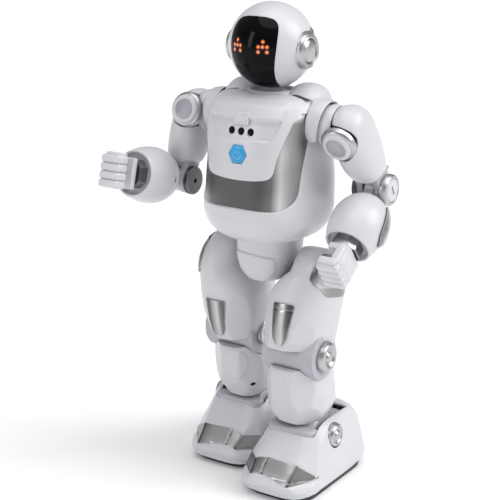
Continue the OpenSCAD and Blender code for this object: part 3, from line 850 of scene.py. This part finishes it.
def shoulder_rim():
    """A curved lip round the arm's drum, tapering to both of its ends."""
    inner_r, inner_x = 18.5, 44
    angle = np.radians(np.linspace(-38, 205, 90))
    taper = np.sin(np.linspace(0, np.pi, 90)) ** 0.35
    profile = [(18.5, 44), (18.5, 53), (18.7, 55.2), (19.6, 56.2), (20.9, 55.6), (22.2, 52.5),
               (23.0, 48), (23.2, 44)]
    rows = []
    for r, x in profile:
        r = inner_r + (r - inner_r) * (0.15 + 0.45 * taper)
        x = inner_x + (x - inner_x) * (0.35 + 0.63 * taper)
        rows.append(np.stack([x, -r * np.cos(angle), r * np.sin(angle) + SHOULDER_Z], -1))
    return grid_skin(np.array(rows), wrap=False)


def build_shoulder(side):
    """A dark plate on the shoulder, a white hump by the neck and a rim over the arm."""
    place = Place(side, BODY_Y, 0.0)
    top = torso(0.9).lift(1.2)
    top = top.cut(lambda p: np.max([27 - p[:, 0], p[:, 1] - 22, -22 - p[:, 1], 317.5 - p[:, 2]], 0))
    piece(f"{side}_shoulder_plate", top.rim(1.2, EDGE), place, "root", "gunmetal",
          replaces=["shoulder_plates"])
    hump = [
        [317, 12, 47, -14, 30, 2.3], [324, 13, 46.5, -12, 29, 2.3], [330, 15, 43.5, -7, 26, 2.2],
        [334, 19, 39.5, -1, 20, 2.1], [336, 24, 35, 5, 14, 2],
    ]
    piece(f"{side}_neck_hump", loft(hump, 0.9, 0.5, 1.2), place, "root", "gloss_white")
    piece(f"{side}_shoulder_rim", shoulder_rim(), place, "root", "gloss_white")


def build_collar():
    profile = [(19.5, 316), (21.6, 318), (22.3, 322), (21.8, 326), (20.2, 329.5), (18.2, 331),
               (16.8, 330.6), (15.8, 328), (15.4, 322)]
    body_piece("neck_collar", turned(revolve(profile, step=0.6), "up"), "gloss_white")


def build_back():
    """The battery door, ribbed where the thumb pushes it, and its screw."""
    screw_z, rib_pitch, rib_z = 232, 5, 272
    door_edge = inside([(-26, 226), (26, 226), (26, 284), (-26, 284)], 3)

    def ribs(p):
        wave = np.sin(p[:, 2] * 2 * np.pi / rib_pitch)
        return 1.1 + 0.35 * wave * ramp(np.abs(p[:, 2] - rib_z) - 7, 2)

    rear = torso(1.0).cut(lambda p: 20 - p[:, 1])
    door = rear.cut(lambda p: door_edge(p[:, 0], p[:, 2])).lift(ribs)
    body_piece("battery_cover", door.rim(1.2, 0.4), "shade_white", replaces=["battery_door"])
    y = rear.p[np.argmin(from_y(rear.p, 0, screw_z)), 1]
    profile = [(1.2, -0.2), (1.4, 1.3), (2.7, 1.6), (2.9, 1.2), (2.9, -0.5)]
    screw = turned(revolve(profile[::-1], 32), "back")
    body_piece("battery_screw", moved(screw, 0, y + 0.9, screw_z), "axle_steel")


def build_pelvis():
    stations = [
        [171, -10, 10, -14, 12, 2.2], [173, -15, 15, -19, 17, 2.4], [178, -19, 19, -23, 21, 2.6],
        [186, -22, 22, -26, 24, 2.8], [196, -24, 24, -27, 25, 3], [209, -25, 25, -27, 25, 3],
    ]
    bulge = inside(
        [(-19, 199), (8, 197), (19, 196), (17, 182), (8, 173), (-8, 173), (-17, 182)], 4
    )
    shape = loft(stations, 0.8, 5, 1)
    shape = shape.lift(lambda p: 1.3 * ramp(bulge(p[:, 0], p[:, 2]), 1.2) * (p[:, 1] < 0))
    casing = split(shape, lambda p: p[:, 0] - 21.5, 0.12, 1.5, 0.25)
    body_piece("pelvis_casing", casing, "gloss_white", replaces=["pelvis_shell"])


# ---------- arms ----------

BOSS = (71.0, -17.6, -2.5)
ARM_SEAM_Y = 5.3
ELBOW_CHEEKS = ((70.2, 75.8), (86.2, 91.2))
SCREW_HOLE_R = 1.9
upper_arm_stations = [
    [-47, 69, 91.5, -12.5, 13, 2.6], [-42, 66, 92.5, -15, 16, 2.5], [-32, 63, 92, -19, 20, 2.4],
    [-20, 61.5, 91, -21.5, 22.5, 2.3], [-8, 61, 89.5, -22, 23, 2.2],
    [2, 61, 87.5, -20.5, 21.5, 2.2], [10, 61.5, 84.5, -16, 17, 2.1],
    [15, 63, 79.5, -10, 10.5, 2.1], [17, 66, 75, -5, 5, 2],
]

# The forearm's egg, as radius and distance below the elbow, round its lip and into its mouth.
forearm_profile = [
    (5.0, 13.9), (6.8, 14.1), (10.5, 14.8), (15, 18), (19, 23), (22, 30), (23.3, 37), (23.3, 43),
    (22.4, 50), (21.4, 54), (20.0, 58.5), (18.9, 61.4), (18.2, 61.9), (17.2, 61.4), (16.2, 58),
    (15.2, 50),
]


def build_upper_arm(side):
    fit = fitter(side, UPPER, "arm")
    shape = loft(upper_arm_stations, 0.9, 5, 2)
    shape = shape.cut(lambda p: hole(from_y(p, BOSS[0], BOSS[2]), 15.0, p[:, 1] > -6))
    halves = split(shape, lambda p: p[:, 1] - ARM_SEAM_Y, 0.15)
    drum = [(4.6, 50.6), (12, 50.4), (15.4, 50.6), (16.3, 51.4), (16.5, 53), (16.5, 63)]
    flange = [(16.5, 57), (17.3, 57.3), (17.6, 58.5), (17.4, 62), (16.5, 64)]
    casing = join(halves, revolve(drum[::-1]), revolve(flange[::-1]))
    fit("upper_arm_casing", casing, "gloss_white", replaces=["upper_arm"])


def build_boss(side):
    """The round boss on the front of the arm: a plated ring, a white rim and a sunk dish."""
    fit = fitter(side, UPPER, "arm")
    ring = [(8.4, 0.4), (8.6, 3.5), (12.2, 3.6), (13.4, 3.2), (14.4, 2.0), (14.9, 0.6), (14.9, -2)]
    dish = [(0, 1.0), (3, 1.3), (6, 2.4), (7.8, 4.2), (8.6, 5.3)]
    rim = [(8.3, 4.2), (8.5, 5.4), (9.2, 6.0), (10.6, 5.9), (11.6, 5.2), (12.2, 3.9), (12.3, 3.0)]

    def front(profile, step):
        return moved(turned(revolve(profile[::-1], step=step), "front"), *BOSS)

    fit("boss_ring", front(ring, 0.5), "chrome", replaces=["arm_boss"])
    fit("boss_dish", front(dish, 0.5), "shade_white")
    fit("boss_rim", front(rim, 0.4), "gloss_white")


def build_elbow(side):
    """The fork at the end of the upper arm and the pin's two ends."""
    fit = fitter(side, UPPER, "arm")

    def hang(name, skin, *looks, **more):
        fit(name, moved(skin, z=-UPPER_ARM_LEN), *looks, **more)

    fork = [rounded_box((72, -9.0, 12.0), (91, 13.2, 15.4), 1.4)]
    for x0, x1 in ELBOW_CHEEKS:
        cheek = [(0.5, x0), (10.8, x0), (11.5, x0 + 0.7), (11.5, x1 - 0.7), (10.8, x1), (0.5, x1)]
        fork += [revolve(cheek), rounded_box((x0, -9.2, 0), (x1, 9.2, 17), 1.0)]
    hang("elbow_fork", join(*fork), "shade_white")
    ring = [(9.4, 96.4), (9.8, 97.2), (11.4, 97.3), (12.5, 96.6), (13, 95.2), (13, 92),
            (12.2, 91.3), (6, 91.3)]
    hang("elbow_ring", revolve(ring[::-1]), "chrome", replaces=["elbow_pin"])
    disc = [(1.9, 67.4), (1.9, 65.6), (10.9, 65.6), (11.8, 66.2), (12, 67.2), (12, 69.4),
            (11, 69.9), (3, 69.9)]
    hang("elbow_disc", revolve(disc), "chrome", "gunmetal")
    cap = [(0, 97.7), (6, 97.6), (8.6, 97.3), (9.4, 96.6), (9.4, 94)]

    def slit(p):
        y, z = np.abs(p[:, 1]), np.abs(p[:, 2])
        return -np.maximum(y - 0.9, z - 4.6) - FAR * (p[:, 0] < 97)

    hang("elbow_cap", revolve(cap[::-1], step=0.4).cut(slit).rim(0.9, 0.12), "gloss_white")
    # A dark box under the cap's slit: painted shade for the slit's depth.
    floor = rounded_box((95.5, -1.6, -5.2), (96.6, 1.6, 5.2), 0.2)
    hang("elbow_slot", floor, "chrome", "dark_plastic")


def build_forearm(side):
    fit = fitter(side, FORE, "lower_arm")
    egg = moved(turned(revolve(forearm_profile[::-1], 128, step=0.9), "down"), FOREARM_X)
    outline = inside([(0, -18), (8, -21), (14, -31), (13.5, -43), (5, -54), (-3, -47), (-6, -34),
                      (-5, -22)], 3)

    def panel(p):
        return outline(p[:, 1], p[:, 2]) + FAR * (p[:, 0] < FOREARM_X)

    shell = egg.cut(lambda p: 0.25 - panel(p))
    shell = shell.cut(lambda p: hole(from_x(p, 0.8, -37), SCREW_HOLE_R, p[:, 0] > FOREARM_X))
    barrel = [(3.2, 76.6), (9.8, 76.6), (10.6, 77.4), (10.6, 84.6), (9.8, 85.4), (3.2, 85.4)]
    neck = rounded_box((77, -7.2, -17), (85, 7.2, 0), 1.2)
    casing = join(shell.rim(WALL, 0.35), revolve(barrel), neck)
    fit("forearm_casing", casing, "gloss_white", replaces=["forearm"])
    trim = egg.cut(panel).lift(0)  # moves nothing, but gives the trim normals of its own
    fit("forearm_panel", trim.rim(1.2, EDGE), "gunmetal", replaces=["forearm_trim"])
    # The disc that closes the forearm's mouth is drawn in the darker white: painted shade inside the mouth.
    socket = turned(revolve([(0.2, 58.3), (8, 58.2), (16.4, 57.6)]), "down")
    fit("wrist_socket", moved(socket, FOREARM_X), "gloss_white", "shade_white")


def build_cuff(side):
    """The eight-sided block between the forearm and the fist."""
    top, end, half, corner = -55.0, -68.0, 11.4, 6.0
    octagon = [(-half, -corner), (-corner, -half), (corner, -half), (half, -corner),
               (half, corner), (corner, half), (-corner, half), (-half, corner)]
    block = prism(rounded(octagon, 0.5, 3), 0, top - end, 0.3, 0.03)
    block = moved(block, FOREARM_X, z=end)
    fitter(side, FORE, "grip")("cuff_block", block, "chrome", "steel", replaces=["cuff"], sharp=20)


def build_fist(side):
    """Four fingers bent round a grip, the back of the hand and a thumb bar."""
    palm, knuckle, pitch, r, half = -68.2, -91.0, 6.6, 3.35, 12.6
    bars = [
        ((-8, -half, palm - 5.6), (9.6, half, palm), 0.9),
        ((4.6, -half, knuckle + 1), (9.6, half, palm - 4), 1.4),
        ((-9, -half - 3.0, knuckle - 0.5), (7.5, -half + 1.6, knuckle + 6.5), 2.0),
        ((1, -half - 2.8, knuckle + 2), (8.4, -half + 1.6, palm - 1.5), 1.8),
    ]
    for i in (-1.5, -0.5, 0.5, 1.5):
        y = i * pitch
        bars += [
            ((-10.0, y - r, knuckle - r), (9.6, y + r, knuckle + r), 2.3),
            ((-10.1, y - r + 0.1, knuckle - 2), (-4.2, y + r - 0.1, knuckle + 8.3), 2.1),
            ((5.6, y - 2.2, knuckle + 4), (10.3, y + 2.2, palm - 6.5), 1.2),
        ]
    fist = moved(join(*[rounded_box(*bar) for bar in bars]), FOREARM_X)
    fitter(side, FORE, "grip")("fist", fist, "gloss_white", replaces=["hand"])


# ---------- legs ----------

KNEE_R = 20.0
KNEE_DISC_R = 12.8
BARREL_X = (13.0, 62.0)
LEG_X = 37.5
THIGH_SEAM_X = 38.015
SHIN_SEAM_X = 37.0
FOOT_SEAM_X = 34.5
POCKET_X = 36.5
thigh_stations = [
    [-66, 12.5, 60.5, -30.5, 29, 2.8], [-56, 10.5, 62, -33, 33, 2.8],
    [-44, 9.5, 63, -34, 34, 2.7], [-30, 10, 63.5, -34, 34, 2.6],
    [-18, 13, 64, -32.5, 33, 2.6], [-8, 20, 64, -30, 31, 2.6],
    [0, 27, 63.5, -27, 28, 2.5], [8, 27.6, 61.5, -22, 23, 2.5],
    [14, 28.4, 58, -16, 17, 2.4], [19, 31, 54, -9, 10, 2.3],
]
shin_stations = [
    [-61, 18, 55, -19, 24, 2.6], [-56, 15, 58, -23, 28, 2.7], [-46, 11.5, 61, -27, 33, 2.8],
    [-32, 10, 61.5, -28.5, 34, 2.8], [-18, 12, 60, -27, 30, 2.8], [-6.5, 16, 57.5, -24.5, 25, 2.8],
]

# The foot's stations are heights over the floor.
foot_stations = [
    [3, 7, 67, -51, 57, 3.4], [8, 3, 70.5, -57, 62, 4.4], [15, 2, 71.5, -58, 63, 4.7],
    [22, 2.5, 71.5, -53, 62.5, 4.5], [30, 4, 70.5, -45, 61, 4.1], [38, 6.5, 69, -37, 58, 3.7],
    [46, 9, 68, -30, 54, 3.3], [54, 12, 65.5, -23, 48.5, 2.9], [58, 15, 62.5, -18, 43.5, 2.6],
]

# Each facet is a direction and how deep it cuts.
thigh_facets = (
    ((0.75, -0.62, -0.22), 3.2), ((0.95, -0.22, -0.22), 1.6), ((-0.7, -0.72, -0.05), 3.2),
    ((0.62, -0.55, -0.56), 5.0), ((0.8, 0.6, -0.1), 3.0),
)
shin_facets = (
    ((0.66, -0.75, 0.12), 3.4), ((0.72, -0.55, -0.42), 4.2), ((0.95, -0.3, -0.1), 1.6),
    ((-0.72, -0.68, 0.1), 3.2), ((0.1, -0.93, -0.32), 1.8), ((0.8, 0.6, 0.0), 3.0),
)
foot_facets = (
    ((0, -0.66, 0.75), 1.6), ((0.66, -0.55, 0.5), 3.6), ((-0.66, -0.55, 0.5), 3.6),
    ((0.92, 0.1, 0.36), 2.2), ((0.8, 0.55, 0.2), 2.5),
)
inlay_edge = inside(
    [(27, -27.5), (47, -27.5), (42.5, -56), (39.5, -60.5), (34, -60.5), (31, -56)], 2
)
hip_edge = inside([(-26, 15), (26, 15), (25, -8), (15, -18.5), (-12, -18.5), (-27, -6)], 4)


def inlay_field(p):
    return inlay_edge(p[:, 0], p[:, 2]) + FAR * (p[:, 1] > 0)


def inlay_height(p):
    """A half-round inlay with a fine line across it near its top."""
    across = (p[:, 0] - 37) / 10.5
    return 1.9 - 1.6 * np.abs(across) ** 2.2 - 0.35 * line(p[:, 2] + 32.5, 0.45)


def hip_field(p):
    return np.maximum(54 - p[:, 0], hip_edge(p[:, 1], p[:, 2]))


def build_thigh(side):
    fit = fitter(side, THIGH, "thigh")
    shape = loft(thigh_stations, 1.0, 1.2, 3, FLARE).facet(*thigh_facets)
    shell = shape.cut(lambda p: -65.9 - p[:, 2])
    shell = shell.cut(lambda p: hole(from_x(p, 0, -THIGH_LEN), KNEE_DISC_R + 1.0, p[:, 0] < 25))
    shell = shell.cut(lambda p: 0.3 - hip_field(p))
    shell = shell.lift(lambda p: -0.5 * ramp(inlay_field(p) - 0.3, 0.6))

    def seam(p):
        return p[:, 0] - (THIGH_SEAM_X + 1.5 * np.clip(-p[:, 2] / 60, 0, 1))

    casing = split(shell, seam, 0.145)
    fit("thigh_casing", casing, "gloss_white", replaces=["thigh_shell"])
    fine = loft(thigh_stations, 0.7, 1.2, 3, FLARE).facet(*thigh_facets)
    inlay = fine.cut(inlay_field).lift(inlay_height).rim(2.0, 0.35)
    fit("thigh_inlay", inlay, "chrome", "steel", replaces=["thigh_trim"])
    cover = shape.cut(hip_field).lift(lambda p: 0.35 + 0.9 * ramp(-10.5 - p[:, 2], 0.9))
    fit("hip_cover", cover.rim(1.5, EDGE), "chrome", "steel", replaces=["hip_plate"])


def build_knee(side):
    """The knee's barrel, with flats and grooves round its front, and the pin's two ends."""
    fit = fitter(side, SHIN, "shin")
    x0, x1 = BARREL_X
    profile = [(2, x0 + 0.2), (18.6, x0 + 0.2), (19.7, x0 + 0.9), (20, x0 + 2.2), (20, x1 - 2.2),
               (19.7, x1 - 0.9), (18.6, x1 - 0.2), (2, x1 - 0.2)]
    turns = [math.radians(a) for a in (-22, 8, 38, 68)]
    flats = [((0, -math.cos(a), math.sin(a)), 0.7) for a in turns]
    barrel = revolve(profile, 120, step=1.0).facet(*flats, soft=0.15)
    barrel = barrel.lift(lambda p: -0.5 * sum(line(p[:, 0] - x, 0.5) for x in (27.0, 49.0)))

    def slot(p):
        return 5.2 - np.abs(p[:, 0] - LEG_X) - FAR * ((p[:, 2] < -2) | (p[:, 1] < -11))

    fit("knee_barrel", barrel.cut(slot).rim(1.6, EDGE), "shade_white", replaces=["knee_block"])
    disc = [(0, 5.8), (2.4, 5.5), (4.2, 4.4), (5.0, 3.2), (5.6, 2.9), (6.6, 3.3), (7.6, 4.5),
            (9.2, 5.3), (10.8, 4.9), (12.1, 3.6), (KNEE_DISC_R, 1.6), (KNEE_DISC_R, 0)]
    inner = [(3, x0 - 3.4), (3.4, x0 - 2.6), (10.6, x0 - 3.6), (11.6, x0 - 2.9), (11.8, x0 - 1.8),
             (11.8, x0)]
    pin = join(moved(revolve(disc[::-1], step=0.4), x1 + 0.4), revolve(inner))
    fit("knee_disc", pin, "chrome", replaces=["knee_pin"])


def shin_emboss(p):
    """A faint raised oval on the front."""
    oval = np.hypot((p[:, 0] - 30) / 11, (p[:, 2] + 22) / 15) * 10 - 10
    return 0.55 * ramp(oval, 1.5) * (p[:, 1] < 0)


def build_shin(side):
    fit = fitter(side, SHIN, "shin")
    shape = loft(shin_stations, 1.0, 4, 1).facet(*shin_facets).lift(shin_emboss)

    def knee(p):
        inner = np.abs(p[:, 0] - LEG_X) < 25
        return np.where(inner, KNEE_R + 0.35, KNEE_DISC_R + 0.8) - from_x(p)

    screw_x, screw_z = 17.4, -43
    shape = shape.cut(knee).cut(lambda p: hole(from_y(p, screw_x, screw_z), 2.0, p[:, 1] > 0))
    halves = split(shape, lambda p: p[:, 0] - SHIN_SEAM_X, SEAM)
    profile = [(2, 18.2), (15, 18.2), (16, 19.2), (16, 53.8), (15, 54.8), (2, 54.8)]
    socket = revolve(profile, 72, step=1.2).cut(lambda p: p[:, 2] - 14)
    casing = join(halves, moved(socket, z=-SHIN_LEN))
    fit("shin_casing", casing, "gloss_white", replaces=["shin_shell"])
    screw = turned(revolve([(1.9, -1), (1.9, 0), (1.7, 0.3), (0.3, 0.2)], 24), "front")
    fit("shin_screw", moved(screw, screw_x, -17.5, screw_z), "chrome", "dark_plastic")


def up(z):
    """A height over the floor, in the foot's frame."""
    return z - ANKLE_Z


band_edge = inside(
    [(-12, up(24)), (14, up(25.8)), (24, up(30)), (34, up(31.6)), (61, up(30.3)), (82, up(20)),
     (50, up(16.8)), (43.5, up(18.5)), (32, up(20.6)), (21, up(21)), (12, up(18)), (7, up(15.2)),
     (-12, up(13))]
)


def band_field(p):
    """The band wraps the instep and runs out to a point on the side."""
    return band_edge(p[:, 0] + 0.6 * (p[:, 1] + 50), p[:, 2]) + FAR * (p[:, 1] > -22)


def band_height(p):
    return 0.45 - 0.35 * line(p[:, 0] - 28, 0.35) - 0.35 * line(p[:, 2] - up(19.4), 0.35)


def foot_relief(p):
    """A swollen toe with a crease, a curved line at the heel and a seat for the band."""
    toe = ramp(p[:, 2] - up(17), 2.0) * ramp(p[:, 1] + 24, 10)
    crease = line(p[:, 2] - up(9.5), 0.9) * ramp(p[:, 1] + 15, 30)
    heel = line(from_x(p, 6, 2) - 38, 0.8) * (p[:, 1] > 20) * (p[:, 2] > up(20))
    return toe - 0.9 * crease - 0.6 * heel - 0.5 * ramp(band_field(p) - 0.5, 1.0)


def foot_pocket(p):
    """The opening that the shin stands in."""
    aside = np.abs(p[:, 0] - POCKET_X) - 23.5
    return -np.max([aside, -26 - p[:, 1], p[:, 1] - 33, 4 - p[:, 2]], 0)


def build_foot(side):
    fit = fitter(side, FOOT, "foot")
    stations = [[up(s[0])] + s[1:] for s in foot_stations]
    shape = loft(stations, 1.0, 2.5, 2.5).facet(*foot_facets).lift(foot_relief).cut(foot_pocket)
    shin_r, disc_r, screw_r, screw_y, screw_z = 17.4, 10.8, 2.2, -30, up(10)
    shape = shape.cut(lambda p: hole(from_x(p), shin_r, np.abs(p[:, 0] - POCKET_X) > 23))
    shape = shape.cut(lambda p: hole(from_x(p), disc_r, p[:, 0] < 50))
    shape = shape.cut(lambda p: hole(from_x(p, screw_y, screw_z), screw_r, p[:, 0] > 30))
    casing = split(shape, lambda p: p[:, 0] - FOOT_SEAM_X, SEAM)
    fit("foot_casing", casing, "gloss_white", replaces=["foot_shell"])
    fine = loft(stations, 0.75, 2.5, 2.5).facet(*foot_facets)
    band = fine.cut(band_field).lift(band_height).rim(1.2, 0.25)
    fit("instep_band", band, "chrome", "steel", replaces=["foot_band"])
    lip = [[-8, 13.2, 59.8, -26.2, 33.4, 6], [8.5, 13.2, 59.8, -26.2, 33.4, 6]]
    lip = loft(lip, 1.2, 0.5, 2.5).cut(lambda p: hole(from_x(p), 17.3)).rim(1.0, 0.2)
    fit("ankle_cuff", lip, "shade_white")
    sole = prism(rounded([(7, -50), (66.6, -50), (66.6, 56), (7, 56)], 20, 8), 0.0, 3.4, 0.3)
    sole = moved(sole, z=-ANKLE_Z)
    fit("sole", sole, "dark_plastic", replaces=["sole_plate"])


def build_ankle_pin(side):
    disc = [(0, 5.8), (2.2, 5.5), (3.8, 4.6), (4.6, 3.6), (5.2, 3.4), (6.0, 3.8), (7.0, 4.7),
            (8.3, 4.6), (9.5, 3.4), (10.1, 1.6), (10.1, -2)]
    rod = revolve([(2.9, 12), (3, 12.5), (3, 66)], 32)
    pin = join(moved(revolve(disc[::-1], step=0.4), 65.4), rod)
    fitter(side, FOOT, "foot")("ankle_disc", pin, "chrome", replaces=["ankle_pin"])


# ---------- inside ----------


def finish_inside():
    """CAD nodes that keep their shape get the look of their own slot."""
    for part in frame["record"]["subparts"]:
        node = frame["nodes"][part["node"]]
        node.data.materials.clear()
        node.data.materials.append(LOOKS[part["material_slot"]])


# ---------- stage ----------


def add_light(name, kind, at, aim, energy):
    """A light at `at`, turned so that it shines along `aim`."""
    data = bpy.data.lights.new(name, kind)
    data.energy = energy
    light = bpy.data.objects.new(name, data)
    bpy.context.scene.collection.objects.link(light)
    light.location = at
    light.rotation_euler = aim.to_track_quat("-Z", "Y").to_euler()
    return data


def sun_light(name, towards, spread, strength):
    data = add_light(name, "SUN", towards, -Vector(towards), strength)
    data.angle = math.radians(spread)
    data.specular_factor = 0.35


def area_light(name, at, towards, size, power):
    data = add_light(name, "AREA", at, Vector(towards) - Vector(at), power)
    data.shape = "RECTANGLE"
    data.size, data.size_y = size


def build_world():
    """A pale horizon with a dimmer band above it, so that plated parts show some contrast."""
    world = bpy.data.worlds.new("studio")
    world.use_nodes = True
    nodes, links = world.node_tree.nodes, world.node_tree.links
    direction = nodes.new("ShaderNodeTexCoord")
    axes = nodes.new("ShaderNodeSeparateXYZ")
    sky = tones(
        nodes, [(0, (0.88, 0.88, 0.88)), (0.35, (0.3, 0.3, 0.31)), (0.7, (0.62, 0.62, 0.64))]
    )
    links.new(direction.outputs["Generated"], axes.inputs["Vector"])
    links.new(axes.outputs["Z"], sky.inputs["Fac"])
    links.new(sky.outputs["Color"], nodes["Background"].inputs["Color"])
    preset(nodes["Background"], Strength=0.68)
    bpy.context.scene.world = world


def build_floor():
    half, cells = 9.0, 12
    side = np.linspace(-half, half, cells + 1)
    x, y = np.meshgrid(side, side)
    floor_skin = grid_skin(np.stack([x, y, 0 * x], -1), wrap=False)
    mesh = bpy.data.meshes.new("floor")
    mesh.from_pydata(floor_skin.p.tolist(), [], floor_skin.f)
    floor = bpy.data.objects.new("floor", mesh)
    bpy.context.scene.collection.objects.link(floor)
    paper = blank("floor_paper", Base_Color=(0.95, 0.95, 0.95, 1), Roughness=0.9)[0]
    mesh.materials.append(paper)


def build_stage():
    build_floor()
    build_world()
    bpy.context.scene.view_settings.view_transform = "Standard"
    sun_light("sun_side", (0.8, 0.3, 0.62), 40, 1.75)
    sun_light("sun_top", (0.1, -0.1, 1.0), 60, 1.5)
    area_light("strip_front", (-0.9, -1.6, 0.9), (0, BODY_Y * MM, 0.2), (0.35, 1.2), 5)


def build_camera():
    """The camera stands to the robot's left front, a little over its head."""
    at = (0.5982, -0.9464 + BODY_Y * MM, 0.5346)
    back = Vector((0.524, -0.801, 0.291)).normalized()
    data = bpy.data.cameras.new("camera")
    data.sensor_width = 36
    data.lens = 101.088
    data.clip_end = 50
    camera = bpy.data.objects.new("camera", data)
    bpy.context.scene.collection.objects.link(camera)
    right = Vector((0, 0, 1)).cross(back).normalized()
    camera.location = at
    camera.rotation_euler = Matrix((right, back.cross(right), back)).transposed().to_euler()
    bpy.context.scene.camera = camera


finish_inside()
build_head()
build_eyes()
build_torso()
build_collar()
build_back()
build_pelvis()
for side in SIDES:
    build_ear(side)
    build_shoulder(side)
    build_upper_arm(side)
    build_boss(side)
    build_elbow(side)
    build_forearm(side)
    build_cuff(side)
    build_fist(side)
    build_thigh(side)
    build_knee(side)
    build_shin(side)
    build_foot(side)
    build_ankle_pin(side)
build_stage()
build_camera()
